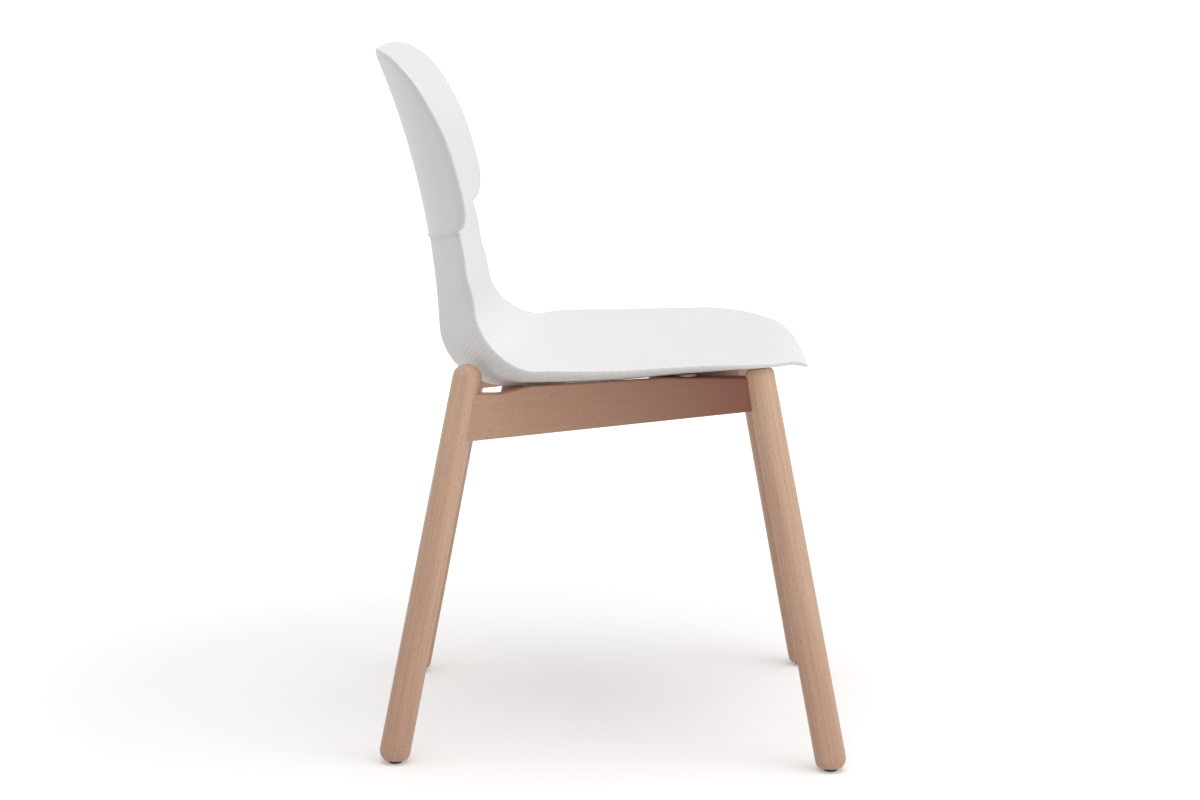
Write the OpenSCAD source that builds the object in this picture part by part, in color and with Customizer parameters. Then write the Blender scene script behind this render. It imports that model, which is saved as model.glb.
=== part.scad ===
// Dining chair: one moulded plastic shell on a beech frame with four round legs.
// The chair faces +X, +Z is up and Y = 0 is its plane of symmetry.

/* [Seat shell] */
// Thickness of the moulded plastic
shell_t = 5; // [4:0.5:8]
// How far the upper back stands proud of the pleated body below it
step_h = 0.9; // [0.5:0.1:2]
// Half width of the upper back
back_half_w = 192; // [170:1:210]
// Half width at the notch below the upper back
notch_half_w = 166; // [140:1:168]
// Half width of the seat where it is widest
seat_half_w = 237; // [225:1:260]
// Half width of the seat where its front corners start
front_half_w = 224; // [205:1:240]
// Length of the back, from its top edge to the bend, along the spine
back_len = 329; // [280:1:380]
// Length of the upper back, from its top edge to the step
upper_len = 225; // [200:1:230]
// How much higher the lower edge of the upper back lies at its ends than in the middle
edge_bow = 12; // [0:0.5:14]
// Radius of the spine of the back
back_r = 945; // [700:5:1500]
// Lean of the back just above the bend, in degrees
back_lean = 2.5; // [0:0.5:8]
// Radius of the bend between back and seat, on the underside
bend_r = 69; // [62:0.5:80]
// Fore and aft place of the centre of the bend
bend_x = -127.5; // [-137:0.5:-119]
// Height of the centre of the bend above the floor
bend_z = 479; // [476:0.5:520]
// Length of the seat, from the bend to the front lip
seat_len = 328; // [300:1:360]
// Slope of the seat just in front of the bend, in degrees
seat_slope_rear = 2.5; // [0:0.5:4]
// Slope of the seat just behind the front lip, in degrees
seat_slope_front = 8.5; // [7:0.5:11]
// Radius of the front lip, on the underside
lip_r = 28; // [20:1:35]
// How far the front lip turns down, in degrees
lip_turn = 64; // [40:1:80]

/* [Legs] */
// Diameter of a leg just under its top
leg_top_d = 33; // [30:0.5:36]
// Diameter of a leg at the floor
leg_foot_d = 35; // [32:0.5:40]
// Rounding of the foot
foot_round = 14; // [8:0.5:14]
// Fore and aft place of the rear feet
rear_foot_x = -243.5; // [-261:0.5:-226]
// Half of the distance between the rear feet
rear_foot_y = 191; // [175:1:210]
// Fore and aft place of the tops of the rear legs
rear_top_x = -153.5; // [-158.5:0.5:-148.5]
// Height of the tops of the rear legs
rear_top_z = 454; // [445:0.5:458]
// Fore and aft place of the front feet
front_foot_x = 253; // [239:0.5:274]
// Half of the distance between the front feet
front_foot_y = 221; // [200:1:235]
// Fore and aft place of the tops of the front legs
front_top_x = 167.5; // [159:0.5:177]
// Height of the tops of the front legs
front_top_z = 451.5; // [440:0.5:452]
// Half of the distance between the tops of the rear legs
rear_top_y = 168; // [160:0.5:176]
// Half of the distance between the tops of the front legs
front_top_y = 173; // [168:0.5:176]

/* [Rails] */
// Thickness of a side rail
rail_t = 20; // [18:0.5:22]
// Height of the lower edge of a side rail at the rear leg
rail_low_rear = 367.5; // [355:1:375]
// Height of the lower edge of a side rail at the front leg
rail_low_front = 404; // [385:1:408]
// Height of the upper edge of a side rail at the rear leg
rail_top_rear = 421.5; // [412:0.5:422]
// Height of the upper edge of a side rail in front of its dip
rail_top_mid = 431.5; // [426:0.5:433]
// Height of the upper edge of a side rail at the front leg
rail_top_front = 440.5; // [432:0.5:440.5]
// Fore and aft place from which the upper edge of a side rail runs level to the front leg
crest_x = 62; // [45:1:75]
// Width of the bevel along the inner upper edge of a side rail
bevel_w = 12; // [10:0.5:15]
// Width of the front cross rail
front_cross_w = 106; // [80:1:108]
// Width of the rear cross rail
rear_cross_w = 76; // [60:1:78]
// Thickness of a cross rail
cross_t = 18; // [14:0.5:20]
// Fore and aft place of the middle of the front cross rail
front_cross_x = 102.5; // [94:0.5:104]
// Height of the upper face of the front cross rail
front_cross_top = 419.5; // [416:0.5:422]
// Fore and aft place of the middle of the rear cross rail
rear_cross_x = -86; // [-90:0.5:-66]
// Height of the upper face of the rear cross rail
rear_cross_top = 402; // [398:0.5:404]
// Diameter of a dowel
dowel_d = 8; // [6:1:10]
// Length of a dowel
dowel_len = 34; // [28:1:36]

/* [Fittings] */
// Diameter of a glide
glide_d = 15.5; // [14:0.5:18]
// Height of a glide
glide_h = 4.5; // [3:0.5:6]
// Diameter of the nail in a glide
nail_d = 2.5; // [2:0.5:3]
// Length of the nail in a glide
nail_len = 16; // [12:1:22]
// Half of the distance between the seat screws of one cross rail
screw_half_gap = 75; // [60:1:90]
// Diameter of a seat screw
screw_d = 6; // [5:0.5:7]
// Length of a seat screw below its head
screw_len = 26; // [24:1:28]
// Diameter of the bosses under the shell
boss_d = 20; // [16:1:24]
// Diameter of a bumper
bumper_d = 21; // [16:0.5:22]
// Fore and aft place of the bumpers
bumper_x = 88.5; // [80.5:0.5:96.5]

/* [Hidden] */
$fn = 48;

right = -1;
left = 1;
sides = [right, left];
radian = 180 / PI;
up = 90;

// Clearances: glued or pushed-in joints, screws in their holes, and loose seats
joint_gap = 0.15;
hole_gap = 0.3;
seat_gap = 0.3;

// ---- Spine of the shell: four arcs in the plane Y = 0, on the outside of the shell ----
// A place along the spine is its distance from the top edge of the back.
bend_sweep = up - back_lean + seat_slope_rear;
bend_len = bend_r * bend_sweep / radian;
lip_len = lip_r * lip_turn / radian;
bend_start = back_len;
bend_end = bend_start + bend_len;
lip_start = bend_end + seat_len;
spine_len = lip_start + lip_len;
seat_r = seat_len * radian / (seat_slope_front - seat_slope_rear);

function on_circle(centre, radius, angle) = centre + radius * [cos(angle), sin(angle)];

bend_centre = [bend_x, bend_z];
back_foot = on_circle(bend_centre, bend_r, 180 + back_lean);
back_centre = on_circle(back_foot, back_r, 180 + back_lean);
seat_rear = on_circle(bend_centre, bend_r, seat_slope_rear - up);
seat_centre = on_circle(seat_rear, seat_r, seat_slope_rear + up);
seat_front = on_circle(seat_centre, seat_r, seat_slope_front - up);
lip_centre = on_circle(seat_front, lip_r, seat_slope_front - up);

function spine(s) =
    s < bend_start
        ? on_circle(back_centre, back_r, back_lean + (bend_start - s) / back_r * radian)
    : s < bend_end
        ? on_circle(bend_centre, bend_r, 180 + back_lean + (s - bend_start) / bend_r * radian)
    : s < lip_start
        ? on_circle(seat_centre, seat_r, seat_slope_rear - up + (s - bend_end) / seat_r * radian)
    : on_circle(lip_centre, lip_r, seat_slope_front + up - (s - lip_start) / lip_r * radian);

// ---- Cross sections: parabolas that rise from the spine towards the rim ----
// Each row is [place along the spine, forward rise, upward rise], at this distance from the spine.
rise_at = 200;
seat_middle = bend_end + seat_len * 0.393;
corner_start = bend_end + seat_len * 0.665;
rises = [
    [0, 27.5, 30.5],
    [60, 46, 15],
    [upper_len - 110, 57, 15],
    [upper_len - 21, 61, 10],
    [bend_start - 60, 55, 24.5],
    [bend_start, 59, 42.5],
    [bend_end, 38, 32],
    [seat_middle, 3.5, 25.5],
    [corner_start, 0, 23.5],
    [spine_len, 0, 13]
];

// Half width of the shell from the notch down to the front corners
notch_start = upper_len - edge_bow;
widths = [
    [notch_start, notch_half_w],
    [notch_start + 28, notch_half_w + 7],
    [bend_start - 36, notch_half_w + 11.5],
    [bend_start, notch_half_w + 14],
    [bend_end, seat_half_w - 10],
    [bend_end + 40, seat_half_w - 1],
    [seat_middle, seat_half_w - 2],
    [corner_start, front_half_w]
];

// A smooth curve through the rows of a table: cubic pieces whose slopes match where they meet
function row_before(table, s, i = 0) =
    i >= len(table) - 2 || s < table[i + 1][0] ? i : row_before(table, s, i + 1);
function slope(table, i, k) =
    let (a = max(i - 1, 0), b = min(i + 1, len(table) - 1))
    (table[b][k] - table[a][k]) / (table[b][0] - table[a][0]);
function smooth(table, s, k = 1) =
    let (i = row_before(table, s), h = table[i + 1][0] - table[i][0], u = (s - table[i][0]) / h)
    table[i][k] * (1 + 2 * u) * pow(1 - u, 2)
    + table[i + 1][k] * (3 - 2 * u) * pow(u, 2)
    + h * (slope(table, i, k) * u * pow(1 - u, 2) - slope(table, i + 1, k) * (1 - u) * pow(u, 2));

function shell_point(s, y) =
    let (c = spine(s), g = pow(y / rise_at, 2))
    [c.x + smooth(rises, s, 1) * g, y, c.y + smooth(rises, s, 2) * g];

// The way from the outside of the shell to its inside
probe = 0.5;
function shell_normal(s, y) =
    let (
        along = shell_point(s + probe, y) - shell_point(s - probe, y),
        across = shell_point(s, y + probe) - shell_point(s, y - probe),
        n = cross(along, across)
    )
    n / norm(n);

// ---- Outline of the shell: rows of points across it, from the top edge to the front edge ----
// Rounded corners squeeze a rectangle of rows and columns into a softened one. The higher the power,
// the tighter the corners.
corner_cut = 0.24;
back_power = 2.8;
front_power = 3.2;
function squeeze(u, power) = 1 - corner_cut * pow(abs(u), power);

back_corner = 75;
front_corner = spine_len - corner_start;
upper_corner = 42;
columns = [for (i = [-12 : 12]) sin(90 * i / 12) * 0.35 + i / 12 * 0.65];

// A row is a list of [place along the spine, distance from the spine, how far it stands proud].
function top_row(a) =
    [for (t = columns) [
        back_corner * (1 - a * squeeze(t, back_power)),
        back_half_w * t * squeeze(a, back_power),
        step_h]];
function plain_row(s, half, proud) = [for (t = columns) [s, half * t, proud]];
function bowed_row(s, bow, proud) =
    [for (t = columns) let (place = s - bow * pow(abs(t), 1.5)) [place, smooth(widths, place) * t, proud]];
function front_row(a) =
    [for (t = columns) [
        corner_start + front_corner * a * squeeze(t, front_power),
        front_half_w * t * squeeze(a, front_power),
        0]];

notch_flat = 3.5;
upper_straight = notch_start - notch_flat - upper_corner - back_corner;
step_run = 1.5;
rows = concat(
    [for (a = [1, 0.93, 0.82, 0.66, 0.46, 0.24]) top_row(a)],
    [for (i = [0 : 5]) plain_row(back_corner + upper_straight * i / 6, back_half_w, step_h)],
    [for (a = [0 : 15 : 90]) plain_row(
        notch_start - notch_flat - upper_corner * (1 - sin(a)),
        notch_half_w + (back_half_w - notch_half_w) * cos(a),
        step_h)],
    [bowed_row(upper_len, edge_bow, step_h)],
    [for (i = [0 : 7]) let (s = upper_len + step_run + (bend_start - upper_len - step_run) * i / 8)
        bowed_row(s, edge_bow * (1 - i / 8), 0)],
    [for (i = [0 : 11]) let (s = bend_start + bend_len * i / 12) plain_row(s, smooth(widths, s), 0)],
    [for (i = [0 : 9]) let (s = bend_end + (corner_start - bend_end) * i / 10)
        plain_row(s, smooth(widths, s), 0)],
    [for (a = [0, 0.14, 0.28, 0.42, 0.55, 0.67, 0.76, 0.82, 0.88, 0.94, 1]) front_row(a)]
);
row_n = len(rows);
column_n = len(columns);
skin_n = row_n * column_n;

outer_skin = [for (row = rows) for (p = row) shell_point(p[0], p[1]) - p[2] * shell_normal(p[0], p[1])];
inner_skin = [for (row = rows) for (p = row) shell_point(p[0], p[1]) + shell_t * shell_normal(p[0], p[1])];

function at(skin, row, column) = skin * skin_n + row * column_n + column;
function quad(a, b, c, d) = [[a, c, b], [a, d, c]];
skin_faces = [for (r = [0 : row_n - 2]) for (c = [0 : column_n - 2]) each concat(
    quad(at(0, r, c), at(0, r, c + 1), at(0, r + 1, c + 1), at(0, r + 1, c)),
    quad(at(1, r, c), at(1, r + 1, c), at(1, r + 1, c + 1), at(1, r, c + 1)))];
rim_faces = concat(
    [for (r = [0 : row_n - 2]) each concat(
        quad(at(0, r, 0), at(0, r + 1, 0), at(1, r + 1, 0), at(1, r, 0)),
        quad(at(0, r + 1, column_n - 1), at(0, r, column_n - 1),
             at(1, r, column_n - 1), at(1, r + 1, column_n - 1)))],
    [for (c = [0 : column_n - 2]) each concat(
        quad(at(0, 0, c + 1), at(0, 0, c), at(1, 0, c), at(1, 0, c + 1)),
        quad(at(0, row_n - 1, c), at(0, row_n - 1, c + 1),
             at(1, row_n - 1, c + 1), at(1, row_n - 1, c)))]
);

// Height of the outside of the shell over a place on the floor, by halving the spine
function place_over(x, y, low, high, n = 24) =
    let (mid = (low + high) / 2)
    n == 0 ? mid
    : shell_point(mid, y).x < x ? place_over(x, y, mid, high, n - 1)
    : place_over(x, y, low, mid, n - 1);
function seat_height_over(x, y) = shell_point(place_over(x, y, bend_end - 30, lip_start), y).z;

// Everything above a plane laid a little under the shell, over a place where another piece comes close.
// Between the points that set the plane, the shell hangs lower than it by up to the sag.
plane_sag = 0.4;
module above_plane(x, y, width) {
    big = width * 3;
    half = width / 2;
    side_slope = atan2(seat_height_over(x, y + half) - seat_height_over(x, y - half), width);
    long_slope = atan2(seat_height_over(x + half, y) - seat_height_over(x - half, y), width);
    translate([x, y, seat_height_over(x, y) - seat_gap - plane_sag])
        rotate([side_slope, -long_slope, 0])
            translate([-big / 2, -big / 2, 0]) cube(big);
}

// ---- Legs ----
function leg_foot(front) = front ? [front_foot_x, front_foot_y, 0] : [rear_foot_x, rear_foot_y, 0];
function leg_top(front) =
    front ? [front_top_x, front_top_y, front_top_z] : [rear_top_x, rear_top_y, rear_top_z];
function leg_len(front) = norm(leg_top(front) - leg_foot(front));
function leg_axis(front, z) =
    leg_foot(front) + (leg_top(front) - leg_foot(front)) * z / leg_top(front).z;

// The front tops are flatter than the rear ones.
function top_round(front) = front ? 9 : 15;

module along_leg(front) {
    way = leg_top(front) - leg_foot(front);
    translate(leg_foot(front))
        rotate([0, acos(way.z / norm(way)), atan2(way.y, way.x)])
            children();
}

module leg_blank(front) {
    length = leg_len(front);
    foot_r = leg_foot_d / 2;
    top_r = leg_top_d / 2;
    crown = top_round(front);
    rotate_extrude()
        union() {
            polygon([[0, foot_round], [foot_r, foot_round], [top_r, length - crown], [0, length - crown]]);
            intersection() {
                translate([foot_r - foot_round, foot_round]) circle(foot_round);
                translate([0, 0]) square([foot_r, foot_round]);
            }
            square([foot_r - foot_round, foot_round]);
            intersection() {
                translate([top_r - crown, length - crown]) circle(crown);
                translate([0, length - crown]) square([top_r, crown]);
            }
            translate([0, length - crown]) square([top_r - crown, crown]);
        }
}

// A cone a little larger than the leg, which shapes the ends of the rails
module leg_clearance(front) {
    along_leg(front)
        cylinder(h = leg_len(front), d1 = leg_foot_d + 2 * joint_gap, d2 = leg_top_d + 2 * joint_gap);
}

module leg(front) {
    reach = leg_foot_d * 2;
    foot = leg_axis(front, foot_round);
    difference() {
        along_leg(front) leg_blank(front);
        if (front) above_plane(front_top_x, front_top_y, leg_top_d);
        translate([foot.x - reach / 2, foot.y - reach / 2, glide_h - reach]) cube(reach);
        for (z = dowel_heights(front)) leg_dowel(front, z, joint_gap);
        translate([foot.x, foot.y, 0]) cylinder(h = nail_top + hole_gap, d = nail_d + 2 * joint_gap);
    }
}

// ---- Side rails ----
rear_mid_z = (rail_low_rear + rail_top_rear) / 2;
front_mid_z = (rail_low_front + rail_top_front) / 2;
rail_out = 11;
rail_y = leg_axis(false, rear_mid_z).y + rail_out - rail_t / 2;
rail_inner_y = rail_y - rail_t / 2;
dip_start = rear_top_x + 26;
dip_len = 50;
dip_end = dip_start + dip_len;
rail_rear_x = leg_axis(false, rear_mid_z).x;
rail_front_x = leg_axis(true, front_mid_z).x;

function dip_curve(u) = (1 - cos(180 * u)) / 2;
function rail_low_at(x) =
    rail_low_rear + (rail_low_front - rail_low_rear) * (x - rail_rear_x) / (rail_front_x - rail_rear_x);
function rail_top_at(x) =
    x < dip_start ? rail_top_rear
    : x < dip_end ? rail_top_rear + (rail_top_mid - rail_top_rear) * dip_curve((x - dip_start) / dip_len)
    : rail_top_mid + (rail_top_front - rail_top_mid) * min(1, (x - dip_end) / (crest_x - dip_end));

dowel_shares = [0.28, 0.72];
function dowel_heights(front) =
    let (low = front ? rail_low_front : rail_low_rear, top = front ? rail_top_front : rail_top_rear)
    [for (share = dowel_shares) low + (top - low) * share];

// A dowel between a leg and its side rail lies along X, half of it in each.
module leg_dowel(front, z, gap) {
    inward = front ? -1 : 1;
    face_x = leg_axis(front, z).x + inward * leg_top_d / 2;
    length = dowel_len + 4 * gap;
    translate([face_x - length / 2, rail_y, z])
        rotate([0, 90, 0])
            cylinder(h = length, d = dowel_d + 2 * gap);
}

// Everything on one side of the plane of the bevel, which clears the shell and runs out at the crest
bevel_turn = 13.5;
rail_climb = atan2(rail_top_front - rail_top_mid, crest_x - dip_end);
module beside_bevel(above, gap) {
    big = 300;
    translate([crest_x, rail_inner_y + bevel_w, rail_top_front + gap])
        rotate([bevel_turn, -rail_climb, 0])
            translate([-big / 2 - big / 4, -big / 2, above ? 0 : -big]) cube(big);
}

module side_rail() {
    dip = [for (i = [0 : 12]) dip_start + dip_len * i / 12];
    difference() {
        translate([0, rail_y + rail_t / 2, 0])
            rotate([90, 0, 0])
                linear_extrude(rail_t)
                    polygon(concat(
                        [[leg_axis(false, rail_low_rear).x, rail_low_rear]],
                        [[leg_axis(true, rail_low_front).x, rail_low_front]],
                        [[leg_axis(true, rail_top_front).x, rail_top_front]],
                        [[crest_x, rail_top_front]],
                        [for (i = [12 : -1 : 0]) [dip[i], rail_top_at(dip[i])]],
                        [[leg_axis(false, rail_top_rear).x, rail_top_rear]]));
        beside_bevel(true, 0);
        leg_clearance(false);
        leg_clearance(true);
        for (front = [false, true])
            for (z = dowel_heights(front)) leg_dowel(front, z, joint_gap);
        for (front = [false, true])
            for (x = cross_dowel_xs(front)) cross_dowel(front, x, joint_gap);
        translate([bumper_x, rail_y, rail_top_at(bumper_x) - stem_len - hole_gap])
            cylinder(h = stem_len * 2, d = stem_d + 2 * joint_gap);
    }
}

// ---- Cross rails ----
function cross_x(front) = front ? front_cross_x : rear_cross_x;
function cross_w(front) = front ? front_cross_w : rear_cross_w;
// The front seat screws stand in line with the bumpers.
function screw_x(front) = front ? bumper_x : rear_cross_x;
function cross_top(front) = front ? front_cross_top : rear_cross_top;
cross_dowel_shares = [-0.27, 0.27];
dowel_rail_share = 0.6;
function cross_dowel_xs(front) =
    [for (share = cross_dowel_shares) cross_x(front) + cross_w(front) * share];

module cross_dowel(front, x, gap) {
    in_rail = rail_t * dowel_rail_share;
    length = dowel_len + 4 * gap;
    translate([x, rail_inner_y + in_rail + 2 * gap, cross_top(front) - cross_t / 2])
        rotate([90, 0, 0])
            cylinder(h = length, d = dowel_d + 2 * gap);
}

module cross_rail(front) {
    difference() {
        translate([cross_x(front) - cross_w(front) / 2, -rail_inner_y, cross_top(front) - cross_t])
            cube([cross_w(front), 2 * rail_inner_y, cross_t]);
        for (side = sides) {
            translate([screw_x(front), side * screw_half_gap, cross_top(front) - 2 * cross_t])
                cylinder(h = 3 * cross_t, d = screw_d + 2 * hole_gap);
            for (x = cross_dowel_xs(front)) mirrored(side) cross_dowel(front, x, joint_gap);
        }
    }
}

// ---- Seat fixings ----
washer_t = 1.5;
washer_d = screw_d * 2.3;
head_h = screw_d * 0.6;
head_d = screw_d * 1.9;
insert_d = screw_d + 3;
insert_len = 10;
insert_hole = 11.5;

module at_screws(front) {
    for (side = sides)
        translate([screw_x(front), side * screw_half_gap, cross_top(front)])
            children();
}

module threaded_insert() {
    difference() {
        translate([0, 0, joint_gap]) cylinder(h = insert_len, d = insert_d);
        cylinder(h = insert_len * 3, d = screw_d + 2 * joint_gap, center = true);
    }
}

module seat_screw() {
    translate([0, 0, -cross_t - washer_t]) cylinder(h = screw_len, d = screw_d);
    translate([0, 0, -cross_t - washer_t - head_h]) cylinder(h = head_h, d = head_d);
}

module seat_washer() {
    translate([0, 0, -cross_t - washer_t])
        difference() {
            cylinder(h = washer_t, d = washer_d);
            translate([0, 0, -washer_t]) cylinder(h = 3 * washer_t, d = screw_d + 2 * hole_gap);
        }
}

// ---- Bumpers ----
stem_d = 5;
stem_len = 9;
stem_root = 1.5;
rail_slope = atan2(rail_top_at(bumper_x + bumper_d / 2) - rail_top_at(bumper_x - bumper_d / 2), bumper_d);

module bumper() {
    big = bumper_d * 3;
    difference() {
        translate([bumper_x, rail_y, rail_top_at(bumper_x) - bumper_d])
            cylinder(h = 2 * bumper_d, d = bumper_d);
        above_plane(bumper_x, rail_y, bumper_d);
        intersection() {
            translate([bumper_x, rail_y, rail_top_at(bumper_x) + seat_gap])
                rotate([0, -rail_slope, 0])
                    translate([-big / 2, -big / 2, -big]) cube(big);
            beside_bevel(false, seat_gap);
        }
    }
    translate([bumper_x, rail_y, rail_top_at(bumper_x) - stem_len])
        cylinder(h = stem_len + stem_root, d = stem_d);
}

// ---- Glides ----
nail_head_d = 6;
nail_head_h = 1;
nail_head_z = 1;
nail_top = nail_head_z + nail_head_h + nail_len;

module at_foot(front) {
    foot = leg_axis(front, foot_round);
    translate([foot.x, foot.y, 0]) children();
}

module glide() {
    edge = 1;
    difference() {
        rotate_extrude()
            polygon([
                [0, 0],
                [glide_d / 2 - edge, 0],
                [glide_d / 2, edge],
                [glide_d / 2, glide_h],
                [0, glide_h]]);
        translate([0, 0, -nail_head_h])
            cylinder(h = nail_head_z + 2 * nail_head_h + joint_gap, d = nail_head_d + 2 * joint_gap);
        cylinder(h = glide_h * 3, d = nail_d + 2 * joint_gap, center = true);
    }
}

module glide_nail() {
    translate([0, 0, nail_head_z]) cylinder(h = nail_head_h, d = nail_head_d);
    translate([0, 0, nail_head_z]) cylinder(h = nail_head_h + nail_len, d = nail_d);
}

module mirrored(side) {
    if (side == right) mirror([0, 1, 0]) children();
    else children();
}

// ---- The pieces ----
module seat_shell() {
    color("white")
        difference() {
            union() {
                polyhedron(points = concat(outer_skin, inner_skin), faces = concat(skin_faces, rim_faces));
                for (front = [false, true]) {
                    rise = seat_height_over(screw_x(front), screw_half_gap) - cross_top(front);
                    at_screws(front) cylinder(h = rise + shell_t * 0.4, d = boss_d);
                }
            }
            for (front = [false, true])
                at_screws(front)
                    translate([0, 0, -insert_hole])
                        cylinder(h = 2 * insert_hole, d = insert_d + 2 * joint_gap);
        }
}

module right_front_leg() { color("burlywood") mirrored(right) leg(true); }
module left_front_leg() { color("burlywood") mirrored(left) leg(true); }
module right_rear_leg() { color("burlywood") mirrored(right) leg(false); }
module left_rear_leg() { color("burlywood") mirrored(left) leg(false); }
module right_side_rail() { color("tan") mirrored(right) side_rail(); }
module left_side_rail() { color("tan") mirrored(left) side_rail(); }
module front_cross_rail() { color("peru") cross_rail(true); }
module rear_cross_rail() { color("peru") cross_rail(false); }

module leg_dowels() {
    color("wheat")
        for (side = sides) mirrored(side)
            for (front = [false, true])
                for (z = dowel_heights(front)) leg_dowel(front, z, 0);
}

module cross_rail_dowels() {
    color("wheat")
        for (side = sides) mirrored(side)
            for (front = [false, true])
                for (x = cross_dowel_xs(front)) cross_dowel(front, x, 0);
}

module threaded_inserts() { color("gold") for (front = [false, true]) at_screws(front) threaded_insert(); }
module seat_screws() { color("dimgray") for (front = [false, true]) at_screws(front) seat_screw(); }
module seat_washers() { color("silver") for (front = [false, true]) at_screws(front) seat_washer(); }
module right_bumper() { color("rosybrown") mirrored(right) bumper(); }
module left_bumper() { color("rosybrown") mirrored(left) bumper(); }
module right_front_glide() { color("black") mirrored(right) at_foot(true) glide(); }
module left_front_glide() { color("black") mirrored(left) at_foot(true) glide(); }
module right_rear_glide() { color("black") mirrored(right) at_foot(false) glide(); }
module left_rear_glide() { color("black") mirrored(left) at_foot(false) glide(); }

module glide_nails() {
    color("gray")
        for (side = sides) mirrored(side)
            for (front = [false, true]) at_foot(front) glide_nail();
}

seat_shell();
right_front_leg();
left_front_leg();
right_rear_leg();
left_rear_leg();
right_side_rail();
left_side_rail();
front_cross_rail();
rear_cross_rail();
leg_dowels();
cross_rail_dowels();
threaded_inserts();
seat_screws();
seat_washers();
right_bumper();
left_bumper();
right_front_glide();
left_front_glide();
right_rear_glide();
left_rear_glide();
glide_nails();
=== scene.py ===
"""A dining chair with a pleated plastic shell on a beech frame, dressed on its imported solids."""

import bmesh
import bpy
import numpy as np
from bpy.props import FloatProperty, FloatVectorProperty, IntProperty, PointerProperty
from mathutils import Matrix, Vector


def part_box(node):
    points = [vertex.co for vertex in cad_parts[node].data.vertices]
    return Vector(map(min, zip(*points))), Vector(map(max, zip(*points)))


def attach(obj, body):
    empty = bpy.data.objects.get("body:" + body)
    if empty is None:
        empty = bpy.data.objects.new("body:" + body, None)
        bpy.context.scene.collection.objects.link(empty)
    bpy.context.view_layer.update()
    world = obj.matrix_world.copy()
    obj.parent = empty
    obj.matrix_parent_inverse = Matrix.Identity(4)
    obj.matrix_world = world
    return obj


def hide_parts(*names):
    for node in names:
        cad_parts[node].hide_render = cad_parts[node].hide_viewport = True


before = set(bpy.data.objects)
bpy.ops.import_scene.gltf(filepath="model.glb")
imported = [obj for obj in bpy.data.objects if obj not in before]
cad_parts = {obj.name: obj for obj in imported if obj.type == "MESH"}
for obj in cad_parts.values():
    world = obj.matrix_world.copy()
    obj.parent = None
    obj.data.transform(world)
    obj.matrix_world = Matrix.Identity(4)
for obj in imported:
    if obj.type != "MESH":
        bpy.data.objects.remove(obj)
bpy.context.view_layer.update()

bl_info = {
    "name": "Pleated Shell Dining Chair",
    "version": (1, 0, 0),
    "blender": (4, 5, 0),
    "location": "View3D > Sidebar > Chair",
    "description": "Builds a dining chair with a pleated shell on a beech frame",
    "category": "Add Mesh",
}


# ---------------------------------------------------------------------------------------------
# Settings
# ---------------------------------------------------------------------------------------------


def length(name, description, default, **more):
    """A length property in metres."""
    return FloatProperty(name=name, description=description, default=default, unit="LENGTH", **more)


def colour(name, description, default):
    """A colour property in linear values."""
    return FloatVectorProperty(
        name=name, description=description, default=default, size=3, min=0, max=1, subtype="COLOR"
    )


def power(name, description, default):
    """A lamp's power in watts."""
    return FloatProperty(name=name, description=description, default=default, unit="POWER")


class ShellSettings(bpy.types.PropertyGroup):
    """Sizes and colours of the seat shell."""

    pleats: IntProperty(
        name="Pleats", description="Pleats in the full sunburst", default=180, min=40, max=240
    )
    pleat_depth: length("Pleat depth", "Depth of a groove between two pleats", 0.0005)
    rim_notch: length("Rim notch", "How deep a groove cuts into the rim", 0.0008)
    rim_round: length("Rim rounding", "How far the rounding of the rim reaches inwards", 0.0012)
    rim_thin: length("Rim thinning", "How much thinner the wall is at the rim", 0.0025)
    rim_lean: length("Rim lean", "How far from the rim the thinning starts", 0.011)
    wall: length("Wall", "Thickness of the moulded wall", 0.005)
    proud: length("Upper back", "How far the upper back stands proud of the pleats", 0.0009)
    bead: length("Bead", "How far the bead under the upper back stands proud", 0.0019)
    tint: colour("Plastic", "Colour of the plastic", (0.85, 0.85, 0.845))
    boss_width: length("Boss", "Diameter of the bosses under the shell", 0.020)


class WoodSettings(bpy.types.PropertyGroup):
    """Sizes and colours of the beech pieces."""

    edge: length("Edge rounding", "Rounding of the long edges of the rails", 0.0018)
    leg_tint: colour("Leg", "Colour of the turned beech", (0.75, 0.50, 0.355))
    rail_tint: colour("Rail", "Colour of the sawn beech", (0.64, 0.395, 0.27))
    late_tint: colour("Late wood", "Colour of the darker growth rings", (0.58, 0.34, 0.225))
    fleck_tint: colour("Flecks", "Colour of the short dark rays in the wood", (0.26, 0.12, 0.07))


class FittingSettings(bpy.types.PropertyGroup):
    """Colours of the small fittings."""

    glide_tint: colour("Glides", "Colour of the glides", (0.015, 0.014, 0.014))
    bumper_tint: colour("Bumpers", "Colour of the bumpers", (0.30, 0.23, 0.22))
    steel_tint: colour("Steel", "Colour of screws, washers and nails", (0.56, 0.56, 0.57))
    brass_tint: colour("Brass", "Colour of the threaded inserts", (0.66, 0.48, 0.20))


class StageSettings(bpy.types.PropertyGroup):
    """Light and camera."""

    key: power("Key light", "Power of the lamp overhead", 33.0)
    fill: power("Fill light", "Power of the lamp beside the camera", 12.0)
    front: power("Front light", "Power of the lamp before the seat", 6.6)
    ambient: FloatProperty(
        name="Ambient", description="Strength of the even light all round", default=0.52
    )
    eye: FloatVectorProperty(
        name="Camera",
        description="Place of the camera",
        default=(-0.0085, -3.1524, 0.9497),
        subtype="XYZ",
        unit="LENGTH",
    )
    pitch: FloatProperty(
        name="Pitch", description="Tilt of the camera", default=1.39302, unit="ROTATION"
    )
    lens: FloatProperty(name="Lens", description="Focal length in millimetres", default=81.498)


# ---------------------------------------------------------------------------------------------
# Meshes
# ---------------------------------------------------------------------------------------------


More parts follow.
